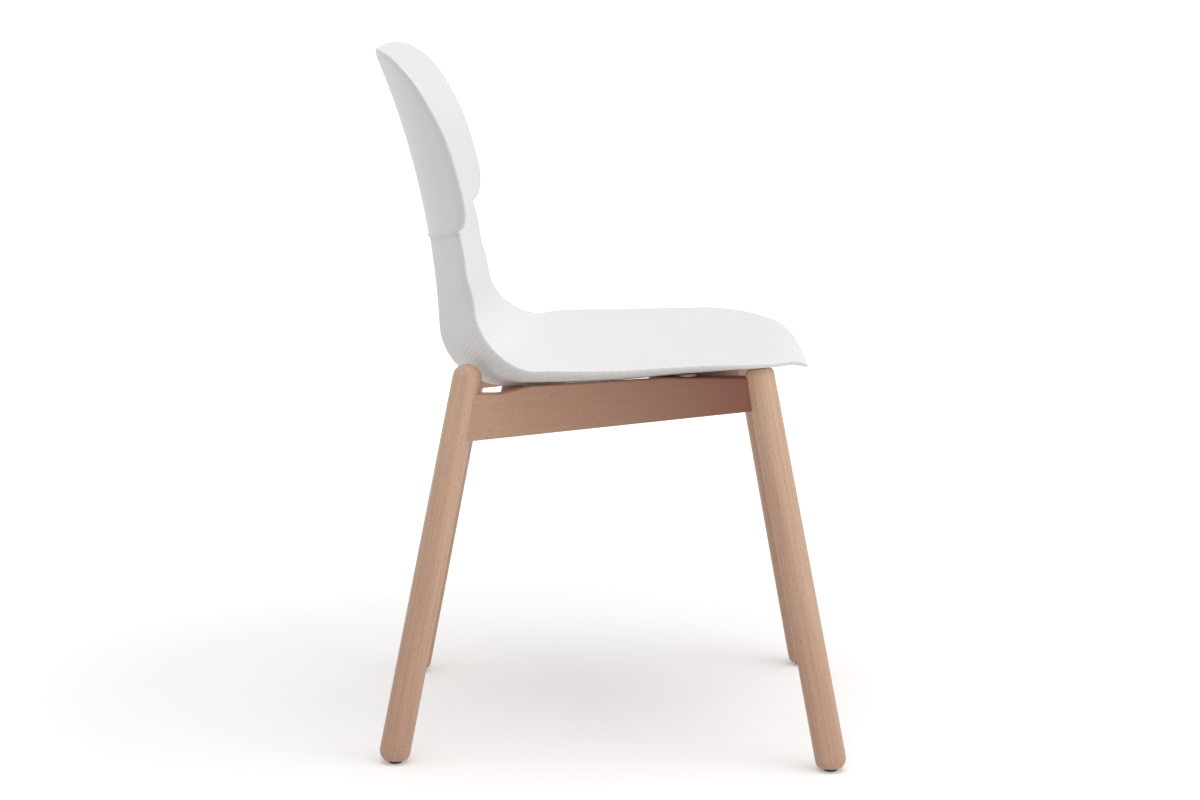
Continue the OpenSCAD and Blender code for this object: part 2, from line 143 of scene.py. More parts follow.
def closed_round(rows):
    """Rows of point numbers with the first column repeated at the end, so that a tube closes."""
    return np.concatenate([rows, rows[:, :1]], axis=1)


class Surface:
    """Collects grids of points and faces for one mesh."""

    def __init__(self):
        self.points, self.quads, self.triangles, self.count = [], [], [], 0

    def add(self, points):
        """Adds points of any grid shape and gives back their numbers in the same shape."""
        flat = points.reshape(-1, 3)
        first = self.count
        self.points.append(flat)
        self.count += len(flat)
        return np.arange(first, self.count).reshape(points.shape[:-1])

    def strip(self, a, b):
        """Quads between two rows of equally many points."""
        self.quads.append(np.stack([a[:-1], a[1:], b[1:], b[:-1]], axis=-1).reshape(-1, 4))

    def grid(self, rows):
        """Quads over a grid of point numbers."""
        q = np.stack([rows[:-1, :-1], rows[:-1, 1:], rows[1:, 1:], rows[1:, :-1]], axis=-1)
        self.quads.append(q.reshape(-1, 4))

    def fan(self, ring, centre):
        """Triangles from a ring to one point."""
        centres = np.full(len(ring) - 1, centre)
        self.triangles.append(np.stack([ring[:-1], ring[1:], centres], axis=-1))

    def mesh(self, name):
        """Turns the collected grids into a smooth mesh whose faces point outwards."""
        data = bpy.data.meshes.new(name)
        points = np.concatenate(self.points)
        quads = np.concatenate(self.quads)
        triangles = np.concatenate(self.triangles)
        sizes = np.concatenate([np.full(len(quads), 4), np.full(len(triangles), 3)])
        corners = np.concatenate([quads.ravel(), triangles.ravel()]).astype(np.int32)
        data.vertices.add(len(points))
        data.vertices.foreach_set("co", points.astype(np.float32).ravel())
        data.loops.add(len(corners))
        data.loops.foreach_set("vertex_index", corners)
        data.polygons.add(len(sizes))
        starts = np.concatenate([[0], np.cumsum(sizes)[:-1]]).astype(np.int32)
        data.polygons.foreach_set("loop_start", starts)
        data.polygons.foreach_set("use_smooth", np.ones(len(sizes), bool))
        data.update(calc_edges=True)
        data.validate()
        work = bmesh.new()
        work.from_mesh(data)
        bmesh.ops.recalc_face_normals(work, faces=work.faces)
        work.to_mesh(data)
        work.free()
        return data


def place(name, data, material, slot, *nodes):
    """Puts a mesh in the scene at the origin, riding the chair, in place of its solids."""
    piece = bpy.data.objects.new(name, data)
    bpy.context.scene.collection.objects.link(piece)
    data.materials.append(material)
    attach(piece, "root")
    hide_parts(*nodes)


def grain_place(data, along, origin, turn=0.0):
    """Stores each point's place in the wood: first along the grain, then two ways across it."""
    a = np.array(along, float)
    a /= np.linalg.norm(a)
    side = np.cross(a, [0.0, 0.0, 1.0] if abs(a[2]) < 0.9 else [1.0, 0.0, 0.0])
    side /= np.linalg.norm(side)
    up = np.cross(side, a)
    c, s = np.cos(turn), np.sin(turn)
    basis = np.stack([a, c * side + s * up, c * up - s * side])
    co = np.empty(len(data.vertices) * 3, np.float32)
    data.vertices.foreach_get("co", co)
    local = (co.reshape(-1, 3) - np.array(origin)) @ basis.T
    layer = data.attributes.new("grain_place", "FLOAT_VECTOR", "POINT")
    layer.data.foreach_set("vector", local.astype(np.float32).ravel())


# ---------------------------------------------------------------------------------------------
# The shell's surface
# ---------------------------------------------------------------------------------------------

# Spine in the middle plane, measured from the top edge: back arc, bend, seat arc and front lip
BACK_LENGTH, BACK_RADIUS, BACK_LEAN = 0.329, 0.945, np.radians(2.5)
BEND_RADIUS, BEND_CENTRE = 0.069, np.array([-0.1275, 0.479])
SEAT_LENGTH, SEAT_REAR, SEAT_FRONT = 0.328, np.radians(2.5), np.radians(8.5)
LIP_RADIUS, LIP_TURN = 0.028, np.radians(64)
UPPER_LENGTH, EDGE_BOW, NOTCH_FLAT = 0.225, 0.012, 0.0035
# How the bow of the upper back's lower edge grows towards the sides
EDGE_BOW_POWER = 1.5
# The edge of the body starts here, where the upper back's bowed lower edge meets the rim
RIM_START = UPPER_LENGTH - EDGE_BOW

BEND_LENGTH = BEND_RADIUS * (np.pi / 2 - BACK_LEAN + SEAT_REAR)
BEND_START, BEND_END = BACK_LENGTH, BACK_LENGTH + BEND_LENGTH
LIP_START = BEND_END + SEAT_LENGTH
SPINE_LENGTH = LIP_START + LIP_RADIUS * LIP_TURN
SEAT_RADIUS = SEAT_LENGTH / (SEAT_FRONT - SEAT_REAR)
SEAT_MIDDLE = BEND_END + 0.393 * SEAT_LENGTH
CORNER_START = BEND_END + 0.665 * SEAT_LENGTH

# Place along the spine, forward rise and upward rise at 0.2 m from the spine
RISE_AT = 0.2
RISES = np.array([
    (0, 0.0275, 0.0305),
    (0.060, 0.046, 0.015),
    (UPPER_LENGTH - 0.110, 0.057, 0.015),
    (UPPER_LENGTH - 0.021, 0.061, 0.010),
    (BEND_START - 0.060, 0.055, 0.0245),
    (BEND_START, 0.059, 0.0425),
    (BEND_END, 0.038, 0.032),
    (SEAT_MIDDLE, 0.0035, 0.0255),
    (CORNER_START, 0, 0.0235),
    (SPINE_LENGTH, 0, 0.013),
])

# Place along the spine and half width, from the notch to the front corners
NOTCH_HALF, SEAT_HALF, FRONT_HALF, BACK_HALF = 0.166, 0.237, 0.224, 0.192
WIDTHS = np.array([
    (RIM_START, NOTCH_HALF),
    (RIM_START + 0.028, NOTCH_HALF + 0.007),
    (BEND_START - 0.036, NOTCH_HALF + 0.0115),
    (BEND_START, NOTCH_HALF + 0.014),
    (BEND_END, SEAT_HALF - 0.010),
    (BEND_END + 0.040, SEAT_HALF - 0.001),
    (SEAT_MIDDLE, SEAT_HALF - 0.002),
    (CORNER_START, FRONT_HALF),
])
BACK_CORNER, UPPER_CORNER = 0.075, 0.042
FRONT_CORNER = SPINE_LENGTH - CORNER_START
CORNER_CUT, BACK_POWER, FRONT_POWER = 0.24, 2.8, 3.2

# How far the rim stays inside the solid's rim
HAIR = 0.00005

# The pleats spread from this place on the spine, at the bottom of the bend, and fade in around it
BURST = 0.402
FADE_START, FADE_LENGTH = 0.035, 0.07
RAYS_PER_PLEAT, GROOVE_POWER = 8, 0.7

# Bead of the upper back: its middle and half width above the lower edge, and the run of the step
BEAD_MIDDLE, BEAD_WIDTH, STEP_RUN = 0.0018, 0.0012, 0.0008

# Rim: how the thinning sets in, how far inside its rounding the inner skin ends, and where on the
# way round the nicks are deepest
THINNING_POWER, INNER_STEP, NICK_TURN = 1.6, 0.004, 0.75


def smooth(rows, s, k=1):
    """A smooth curve through the rows of a table: cubic pieces whose slopes match where they meet."""
    x, v = rows[:, 0], rows[:, k]
    n = len(x)
    a, b = np.maximum(np.arange(n) - 1, 0), np.minimum(np.arange(n) + 1, n - 1)
    slope = (v[b] - v[a]) / (x[b] - x[a])
    i = np.clip(np.searchsorted(x, s, side="right") - 1, 0, n - 2)
    h = x[i + 1] - x[i]
    u = (s - x[i]) / h
    return (
        v[i] * (1 + 2 * u) * (1 - u) ** 2
        + v[i + 1] * (3 - 2 * u) * u**2
        + h * (slope[i] * u * (1 - u) ** 2 - slope[i + 1] * (1 - u) * u**2)
    )


def on_circle(centre, radius, angle):
    """The point of a circle at an angle, for arrays of angles."""
    return centre + radius * np.stack([np.cos(angle), np.sin(angle)], axis=-1)


BACK_FOOT = on_circle(BEND_CENTRE, BEND_RADIUS, np.pi + BACK_LEAN)
BACK_CENTRE = on_circle(BACK_FOOT, BACK_RADIUS, np.pi + BACK_LEAN)
SEAT_START = on_circle(BEND_CENTRE, BEND_RADIUS, SEAT_REAR - np.pi / 2)
SEAT_CENTRE = on_circle(SEAT_START, SEAT_RADIUS, SEAT_REAR + np.pi / 2)
SEAT_END = on_circle(SEAT_CENTRE, SEAT_RADIUS, SEAT_FRONT - np.pi / 2)
LIP_CENTRE = on_circle(SEAT_END, LIP_RADIUS, SEAT_FRONT - np.pi / 2)


def spine(s):
    """The spine's point in the middle plane: four arcs, one after the other."""
    s = np.asarray(s, float)[..., None]
    back_turn = BACK_LEAN + (BEND_START - s) / BACK_RADIUS
    back = on_circle(BACK_CENTRE, BACK_RADIUS, back_turn[..., 0])
    bend_turn = np.pi + BACK_LEAN + (s - BEND_START) / BEND_RADIUS
    bend = on_circle(BEND_CENTRE, BEND_RADIUS, bend_turn[..., 0])
    seat_turn = SEAT_REAR - np.pi / 2 + (s - BEND_END) / SEAT_RADIUS
    seat = on_circle(SEAT_CENTRE, SEAT_RADIUS, seat_turn[..., 0])
    lip_turn = SEAT_FRONT + np.pi / 2 - (s - LIP_START) / LIP_RADIUS
    lip = on_circle(LIP_CENTRE, LIP_RADIUS, lip_turn[..., 0])
    seat_on = np.where(s < LIP_START, seat, lip)
    return np.where(s < BEND_START, back, np.where(s < BEND_END, bend, seat_on))


def skin(s, y):
    """The outside of the shell: parabolas across the spine, which rise forwards and upwards."""
    centre, share = spine(s), (y / RISE_AT) ** 2
    x = centre[..., 0] + smooth(RISES, s, 1) * share
    z = centre[..., 1] + smooth(RISES, s, 2) * share
    return np.stack([x, y, z], axis=-1)


def shell_at(s, y, depth):
    """A point of the shell at a depth below its outside, along the surface's own normal."""
    s, y = np.broadcast_arrays(np.asarray(s, float), np.asarray(y, float))
    probe = 0.0005
    along = skin(s + probe, y) - skin(s - probe, y)
    across = skin(s, y + probe) - skin(s, y - probe)
    n = np.cross(along, across)
    n /= np.linalg.norm(n, axis=-1, keepdims=True)
    return skin(s, y) + np.asarray(depth)[..., None] * n


def squeeze(u, power=BACK_POWER):
    """Pulls a grid's corners in, so that a rectangle becomes a softened one."""
    return 1 - CORNER_CUT * np.abs(u) ** power


def body_outline(v, inset):
    """Right half of the pleated body's edge, moved in by inset.

    The value v runs along the side up to 1 and over the front corner and edge from there to 3.
    """
    inset = inset + HAIR
    s_side = RIM_START + (CORNER_START - RIM_START) * np.clip(v, 0, 1)
    y_side = smooth(WIDTHS, s_side) - inset
    a, t = np.clip(v - 1, 0, 1), np.clip(3 - v, 0, 1)
    s_front = CORNER_START + (FRONT_CORNER - inset) * a * squeeze(t, FRONT_POWER)
    y_front = (FRONT_HALF - inset) * t * squeeze(a, FRONT_POWER)
    return np.where(v < 1, s_side, s_front), np.where(v < 1, y_side, y_front)


def step_line(y):
    """Place along the spine of the upper back's lower edge."""
    return UPPER_LENGTH - EDGE_BOW * np.abs(y / NOTCH_HALF) ** EDGE_BOW_POWER


def upper_rows():
    """Rows of the upper back, from its lower edge up: distance above the edge, and corner share."""
    near = np.array([0.2, 0.7, 1.3, 1.9, 2.6, 3.4, 4.5, 6.5, 9.5, 14, 20, 28, 36, 44]) * 0.001
    far = np.linspace(UPPER_CORNER + EDGE_BOW + NOTCH_FLAT, UPPER_LENGTH - BACK_CORNER, 11)
    top = np.sin(np.linspace(0, np.pi / 2, 13)[1:])
    above = np.concatenate([near, far, np.full(len(top), UPPER_LENGTH - BACK_CORNER)])
    corner = np.concatenate([np.zeros(len(near) + len(far)), top])
    return above, corner


def upper_side(above):
    """How far round its lower corner the upper back is, above its edge, and its half width there."""
    lift = np.clip((above - NOTCH_FLAT) / (UPPER_CORNER + EDGE_BOW), 0, 1)
    return lift, NOTCH_HALF + (BACK_HALF - NOTCH_HALF) * np.sqrt(1 - (1 - lift) ** 2)


def upper_grid(above, corner, t, inset):
    """Points (s, y) of the upper back: a sheet with round lower corners and soft top ones."""
    above, corner, t = np.broadcast_arrays(above[:, None], corner[:, None], t[None, :])
    lift, half = upper_side(above)
    y = (half - inset) * t * squeeze(corner)
    s_low = step_line(NOTCH_HALF * t) * (1 - lift) + UPPER_LENGTH * lift - above
    s_top = BACK_CORNER - (BACK_CORNER - inset) * corner * squeeze(t)
    return np.where(corner > 0, s_top, s_low), y


def to_edge(s, y):
    """Distance of a place on the body from the shell's edge, near enough where it's short."""
    side = smooth(WIDTHS, np.clip(s, RIM_START, CORNER_START)) - np.abs(y)
    across = np.clip(np.abs(y) / FRONT_HALF, 0, 1)
    along = np.clip((s - CORNER_START) / FRONT_CORNER, 0, 1)
    front = FRONT_CORNER * (squeeze(across, FRONT_POWER) - along)
    corner = FRONT_HALF * (squeeze(along, FRONT_POWER) - across)
    return np.where(s > CORNER_START, np.minimum(front, corner), side)


def groove_depth(cfg, rho, groove):
    """Depth of the grooves: none near the burst, then growing smoothly with the distance from it."""
    fade = np.clip((rho - FADE_START) / FADE_LENGTH, 0, 1)
    return cfg.pleat_depth * fade * fade * (3 - 2 * fade) * groove


def thinned(cfg, distance):
    """How far the outside leans in towards the inside, close to the edge."""
    return cfg.rim_thin * np.clip(1 - distance / cfg.rim_lean, 0, 1) ** THINNING_POWER


def upper_thinned(cfg, above, corner, t, inset):
    """The same for the upper back: distance from its sides or its top, whichever is nearer."""
    half = upper_side(above)[1]
    side = (half[:, None] - inset) * (1 - np.abs(t)[None, :]) + inset
    side = side * squeeze(corner)[:, None]
    top = BACK_CORNER * (1 - corner)[:, None] * squeeze(t)[None, :] + inset
    return thinned(cfg, np.where(corner[:, None] > 0, np.minimum(side, top), side))


def proud_of(cfg, above):
    """How far the upper back stands out: a bead along its lower edge, then an even step."""
    bump = np.exp(-(((above - BEAD_MIDDLE) / BEAD_WIDTH) ** 2))
    rise = np.clip(above / STEP_RUN, 0, 1)
    return rise * cfg.proud + bump * (cfg.bead - cfg.proud)


def all_round(half):
    """The right half's values followed by the left half's."""
    return np.concatenate([half, half[-2:0:-1]])


def stitch(surface, fine, coarse, coarse_at, per):
    """Joins a fine ring to a coarse one, where coarse_at says which fine point each coarse one meets.

    One fine step is a quad. A run of several is a fan from each of the two coarse points, with one
    triangle between the fans.
    """
    a, b = coarse_at[:-1], coarse_at[1:]
    single = b - a == 1
    corners = [fine[a[single]], fine[b[single]], coarse[1:][single], coarse[:-1][single]]
    surface.quads.append(np.stack(corners, axis=-1))
    a, c0, c1 = a[~single], coarse[:-1][~single], coarse[1:][~single]
    for k in range(per):
        tip = c0 if k < per // 2 else c1
        surface.triangles.append(np.stack([fine[a + k], fine[a + k + 1], tip], axis=-1))
    surface.triangles.append(np.stack([fine[a + per // 2], c1, c0], axis=-1))


def build_shell(cfg):
    """The shell as one closed mesh.

    Rays run from the burst on the spine to the edge, eight for each pleat, and a groove lies on each
    eighth ray. A sheet of rows and columns carries on from the step to the top. The rim is half an
    ellipse between the outer and the inner border, nicked where a groove meets it.
    """
    surface = Surface()
    per = RAYS_PER_PLEAT
    r, wall = cfg.rim_round, cfg.wall
    half_rays = cfg.pleats // 2 * per
    notch_angle = np.arctan2(NOTCH_HALF - r, BURST - RIM_START)
    notch_ray = int(round(notch_angle / np.pi * cfg.pleats / 2)) * per
    angle = np.concatenate([
        np.linspace(0, notch_angle, notch_ray + 1),
        np.linspace(notch_angle, np.pi, half_rays - notch_ray + 1)[1:],
    ])
    v = np.linspace(0, 3, 3001)

    def ray_ends(angle, inset):
        """Where each ray of the right half meets the step or the moved-in edge."""
        s_edge, y_edge = body_outline(v, r)
        value = np.interp(angle, np.arctan2(y_edge, BURST - s_edge), v)
        s_rim, y_rim = body_outline(value, inset)
        share = np.tan(np.minimum(angle, notch_angle)) / np.tan(notch_angle)
        y_step = (NOTCH_HALF - inset) * share
        on_step = angle <= notch_angle + 1e-9
        return np.where(on_step, step_line(y_step), s_rim), np.where(on_step, y_step, y_rim)

    sign = np.concatenate([np.ones(half_rays + 1), -np.ones(half_rays - 1)])
    phase = all_round(np.arange(half_rays + 1) / per)
    groove = 1 - np.abs(np.sin(np.pi * phase)) ** GROOVE_POWER

    def polar(step, inset, shares, depth_of):
        """The rays' grid: rows by share of the way to the edge, columns by ray."""
        s_end, y_end = ray_ends(angle, inset)
        s_end, y_end = all_round(s_end)[::step], (all_round(y_end) * sign)[::step]
        s = BURST + (s_end - BURST) * shares[:, None]
        y = y_end * shares[:, None]
        rows = closed_round(surface.add(shell_at(s, y, depth_of(s, y, groove[::step][None, :]))))
        surface.grid(rows)
        middle = np.zeros(1)
        centre = surface.add(shell_at(middle + BURST, middle, depth_of(middle + BURST, middle, middle)))
        surface.fan(rows[0], centre[0])
        return rows[-1]

    def outer_depth(s, y, groove):
        """Depth of the outer skin: its grooves and the thinning towards the edge."""
        return groove_depth(cfg, np.hypot(s - BURST, y), groove) + thinned(cfg, to_edge(s, y))

    def inner_depth(s, y, groove):
        """Depth of the smooth inner skin: the wall."""
        return np.full(np.shape(s), wall)

    above, corner = upper_rows()
    on_step = np.concatenate([np.arange(notch_ray, 0, -1), -np.arange(0, notch_ray + 1)])
    t_fine = np.sign(on_step) * np.tan(angle[np.abs(on_step)]) / np.tan(notch_angle)
    columns = np.where(on_step >= 0, on_step, 2 * half_rays + on_step)

    # Outer skin
    shares_out = np.concatenate([np.linspace(0.06, 0.30, 6), np.linspace(0.30, 1, 27)[1:]])
    edge_out = polar(1, r, shares_out, outer_depth)
    s_up, y_up = upper_grid(above, corner, t_fine, r)
    proud = proud_of(cfg, above)[:, None]
    up_out = surface.add(shell_at(s_up, y_up, upper_thinned(cfg, above, corner, t_fine, r) - proud))
    surface.grid(up_out)
    surface.strip(edge_out[columns], up_out[0])

    # Inner skin, with one ray for each pleat
    inner_inset = r + INNER_STEP
    edge_in = polar(per, inner_inset, np.linspace(0.04, 1, 30), inner_depth)
    s_in, y_in = upper_grid(above, corner, t_fine[::per], inner_inset)
    up_in = surface.add(shell_at(s_in, y_in, np.full(s_in.shape, wall)))
    surface.grid(up_in)
    surface.strip(edge_in[columns[::per] // per], up_in[0])

    # Rim: rings from the outer border to the inner one
    rim_rays = np.arange(notch_ray, 2 * half_rays - notch_ray + 1)
    probe = 0.001

    def rim_ring(turn):
        """The rim's points at one turn of its half ellipse: round the body, then up and over the back."""
        inset = r * (1 - np.sin(turn))
        nick = cfg.rim_notch * np.sin((np.pi - turn) * NICK_TURN) ** 2
        s_b, y_b = ray_ends(angle, inset)
        s_d, y_d = ray_ends(angle, inset + probe)
        s_b, s_d = all_round(s_b), all_round(s_d)
        y_b, y_d = all_round(y_b) * sign, all_round(y_d) * sign
        pull = nick / probe * groove
        s_b, y_b = s_b + (s_d - s_b) * pull, y_b + (y_d - y_b) * pull
        share = (1 - np.cos(turn)) / 2
        base = groove_depth(cfg, np.hypot(s_b - BURST, y_b), groove) + thinned(cfg, inset)
        body = shell_at(s_b, y_b, base * (1 - share) + wall * share)[rim_rays]
        s_u, y_u = upper_grid(above, corner, t_fine, inset)
        base = upper_thinned(cfg, above, corner, t_fine, inset) - proud
        up = shell_at(s_u, y_u, base * (1 - share) + wall * share)
        return np.concatenate([body, up[:, -1], up[-1, -2:0:-1], up[::-1, 0]])

    rings = np.stack([rim_ring(turn) for turn in np.linspace(0, np.pi, 8)[1:]])
    upper_loop = np.concatenate([up_out[:, -1], up_out[-1, -2:0:-1], up_out[::-1, 0]])
    outer_loop = np.concatenate([edge_out[rim_rays], upper_loop])
    numbers = np.concatenate([outer_loop[None, :], surface.add(rings)])
    numbers = closed_round(numbers)
    surface.grid(numbers)

    # Stitch the fine last ring to the coarse inner border
    fine = numbers[-1]
    n_body, n_up = len(rim_rays), len(above)
    coarse_at = np.concatenate([
        np.arange(0, n_body, per),
        n_body + np.arange(n_up),
        n_body + n_up - 1 + np.arange(per, len(t_fine) - 1, per),
        n_body + n_up - 1 + (len(t_fine) - 1) + np.arange(n_up),
        [len(fine) - 1],
    ])
    coarse = np.concatenate([
        edge_in[rim_rays[::per] // per],
        up_in[:, -1],
        up_in[-1, -2:0:-1],
        up_in[::-1, 0],
        edge_in[rim_rays[:1] // per],
    ])
    stitch(surface, fine, coarse, coarse_at, per)
    return surface


# The spine is searched from here on, in so many halvings
SEAT_SEARCH, HALVINGS = BEND_END - 0.03, 30


def under_shell(x, y):
    """Height of the shell's outside over places on the floor, by halving the spine."""
    low, high = np.full(np.shape(x), SEAT_SEARCH), np.full(np.shape(x), LIP_START)
    for _ in range(HALVINGS):
        middle = (low + high) / 2
        behind = skin(middle, y)[..., 0] < x
        low, high = np.where(behind, middle, low), np.where(behind, high, middle)
    return skin(low, y)[..., 2]


def add_lathe(surface, profile, start, along, columns):
    """A profile of (distance along the axis, radius) carried round the axis, closed at both ends."""
    a = np.array(along, float)
    a /= np.linalg.norm(a)
    ey = np.cross([0.0, 0.0, 1.0], a) if abs(a[2]) < 0.999 else np.array([0.0, 1.0, 0.0])
    ey /= np.linalg.norm(ey)
    ex = np.cross(ey, a)
    h, r = np.array(profile, float).T
    turn = np.linspace(0, 2 * np.pi, columns, endpoint=False)
    ring = np.cos(turn)[:, None] * ex + np.sin(turn)[:, None] * ey
    points = np.array(start) + h[:, None, None] * a + r[:, None, None] * ring[None]
    rows = surface.add(points)
    rows = closed_round(rows)
    surface.grid(rows)
    ends = surface.add(np.array(start) + h[[0, -1], None] * a)
    surface.fan(rows[0], ends[0])
    surface.fan(rows[-1][::-1], ends[1])


def arc(cx, cy, radius, first, last, n):
    """Points (height, radius) of an arc, between two angles in degrees from the axis outwards."""
    t = np.radians(np.linspace(first, last, n))
    return np.stack([cx + radius * np.sin(t), cy + radius * np.cos(t)], axis=-1)


# ---------------------------------------------------------------------------------------------
# Frame of the chair
# ---------------------------------------------------------------------------------------------

LEG_FOOT = {"front": np.array([0.253, 0.221, 0]), "rear": np.array([-0.2435, 0.191, 0])}
LEG_TOP = {"front": np.array([0.1675, 0.173, 0.4515]), "rear": np.array([-0.1535, 0.168, 0.454])}
LEG_TOP_RADIUS, LEG_FOOT_RADIUS, FOOT_ROUND = 0.0165, 0.0175, 0.014
# Rounding of a leg's top, and how far the top's middle stands over that rounding
CROWN = {"front": 0.009, "rear": 0.0155}
DOME = {"front": 0.00036, "rear": 0.00006}
# Front legs are planed off under the shell above this height
PLANED_ABOVE = 0.44
# The pith, the middle of the growth rings, lies off a leg's axis, and each leg's grain is turned
LEG_PITH = np.array([0.011, 0.004, 0.0])
LEG_GRAIN_TURN = {"front": 0.7, "rear": 2.1}
GLIDE_HEIGHT = 0.0045
SIDES = {"right": -1.0, "left": 1.0}
SHELL_GAP = 0.0005

RAIL_LOW = (0.3675, 0.404)
RAIL_TOP_REAR, RAIL_TOP_MIDDLE, RAIL_TOP_FRONT = 0.4215, 0.4315, 0.4405
DIP_START, DIP_LENGTH, CREST = LEG_TOP["rear"][0] + 0.026, 0.050, 0.062
BEVEL_WIDTH, BEVEL_TURN = 0.012, np.radians(13.5)
# Heights at which a side rail's ends are first looked for, and the share of its length with the dip
RAIL_END_HEIGHTS, DIP_SHARE = (0.39, 0.42), 0.28
# Grain of the boards and place of their pith. A side rail's pith is measured across from the board's
# middle, a cross rail's forwards and upwards from it, and the rest from the frame's own zero.
RAIL_GRAIN, RAIL_PITH = (1, 0, 0.09), np.array([0.3, -0.04, 0.36])
CROSS_GRAIN, CROSS_PITH = (0.02, 1, 0.01), np.array([0.03, 0.4, -0.05])

# Bumpers: how square their bulging sides are, and the gap over the rail
BUMPER_POWER, BUMPER_GAP = 3.2, 0.0003

# Bosses: screws this far from the middle, bore, its depth, and how far a boss reaches into the wall
SCREW_Y = 0.075
BORE_RADIUS, BORE_DEPTH, BOSS_SINK = 0.0046, 0.011, 0.0008
BOSS_COLUMNS = 40
# Rows of a boss from the screw's end up to the shell: share of its height and of its radius
BOSS_HEIGHTS = np.array([0, 0.02, 0.10, 0.3, 0.55, 0.75, 0.88, 0.96, 1.0])
BOSS_FLARE = np.array([0.90, 0.97, 1.0, 1.0, 1.0, 1.04, 1.14, 1.32, 1.5])


def leg_ends(end, side):
    """Foot and top of a leg's axis."""
    mirror = np.array([1.0, SIDES[side], 1.0])
    return LEG_FOOT[end] * mirror, LEG_TOP[end] * mirror


def leg_x(end, z):
    """How far forward a leg's axis is at a height."""
    foot, top = LEG_FOOT[end], LEG_TOP[end]
    return foot[0] + (top[0] - foot[0]) * z / top[2]


def build_leg(end, side):
    """A turned leg: a taper from a round foot to a domed or flat top, cut level over its glide."""
    surface = Surface()
    foot, top = leg_ends(end, side)
    span = np.linalg.norm(top - foot)
    crown = CROWN[end]
    low = arc(FOOT_ROUND, LEG_FOOT_RADIUS - FOOT_ROUND, FOOT_ROUND, -90, 0, 14)
    high = arc(span - crown, LEG_TOP_RADIUS - crown, crown, 0, 90, 14)
    middle = np.linspace(low[-1], high[0], 40)[1:-1]
    high[-1, 0] -= DOME[end]
    # Small rings close the profile at both ends
    profile = np.concatenate([[(0.0, 0.0008)], low, middle, high, [(span, 0.003), (span, 0.0004)]])
    add_lathe(surface, profile, foot, top - foot, 96)
    points = np.concatenate(surface.points)
    points[:, 2] = np.maximum(points[:, 2], GLIDE_HEIGHT)
    if end == "front":
        near = points[:, 2] > PLANED_ABOVE
        clear = under_shell(points[near, 0], points[near, 1]) - SHELL_GAP
        points[near, 2] = np.minimum(points[near, 2], clear)
    surface.points = [points]
    data = surface.mesh(f"{side}_{end}_leg_turned")
    grain_place(data, top - foot, foot + LEG_PITH * SIDES[side], LEG_GRAIN_TURN[end])
    return data


def rail_top(x):
    """Upper edge of a side rail: low at the rear leg, a soft step up, straight to a crest, then level."""
    u = np.clip((x - DIP_START) / DIP_LENGTH, 0, 1)
    dip_end = DIP_START + DIP_LENGTH
    run = np.minimum((x - dip_end) / (CREST - dip_end), 1)
    dipped = RAIL_TOP_REAR + (RAIL_TOP_MIDDLE - RAIL_TOP_REAR) * (1 - np.cos(np.pi * u)) / 2
    return np.where(u < 1, dipped, RAIL_TOP_MIDDLE + (RAIL_TOP_FRONT - RAIL_TOP_MIDDLE) * run)


def bevel(x, inward):
    """Height of the bevel's plane on a side rail, by the distance inward from the bevel's start."""
    climb = (RAIL_TOP_FRONT - RAIL_TOP_MIDDLE) / (CREST - DIP_START - DIP_LENGTH)
    return RAIL_TOP_FRONT + (x - CREST) * climb - inward * np.tan(BEVEL_TURN)


def rail_low(x):
    """Lower edge of a side rail: a straight line between the legs."""
    rear = leg_x("rear", (RAIL_LOW[0] + RAIL_TOP_REAR) / 2)
    front = leg_x("front", (RAIL_LOW[1] + RAIL_TOP_FRONT) / 2)
    return RAIL_LOW[0] + (RAIL_LOW[1] - RAIL_LOW[0]) * (x - rear) / (front - rear)


def section(edge):
    """A rounded rectangle, once round, as corner signs and rounding offsets.

    Each corner is a quarter circle of six points, and five more follow on the straight side after it.
    """
    signs = np.array([(1, 1), (-1, 1), (-1, -1), (1, -1)])
    first = np.array([0, 90, 180, 270])
    turn = np.radians(np.linspace(first, first + 90, 6)).T
    offset = np.stack([edge * np.cos(turn), edge * np.sin(turn)], axis=-1)
    share = np.linspace(0, 1, 7)[1:-1, None]
    sides = signs[:, None] + (np.roll(signs, -1, axis=0) - signs)[:, None] * share
    corners = np.concatenate([np.repeat(signs[:, None], 6, axis=1), sides], axis=1)
    offsets = np.concatenate([offset, np.repeat(offset[:, -1:], 5, axis=1)], axis=1)
    return np.concatenate([corners, offsets], axis=-1).reshape(-1, 4).T


def close_ends(surface, rows):
    """Closes a tube's two ends with a fan each."""
    points = np.concatenate(surface.points)
    for row in (rows[0], rows[-1]):
        centre = surface.add(points[row[:-1]].mean(axis=0)[None])
        surface.fan(row, centre[0])


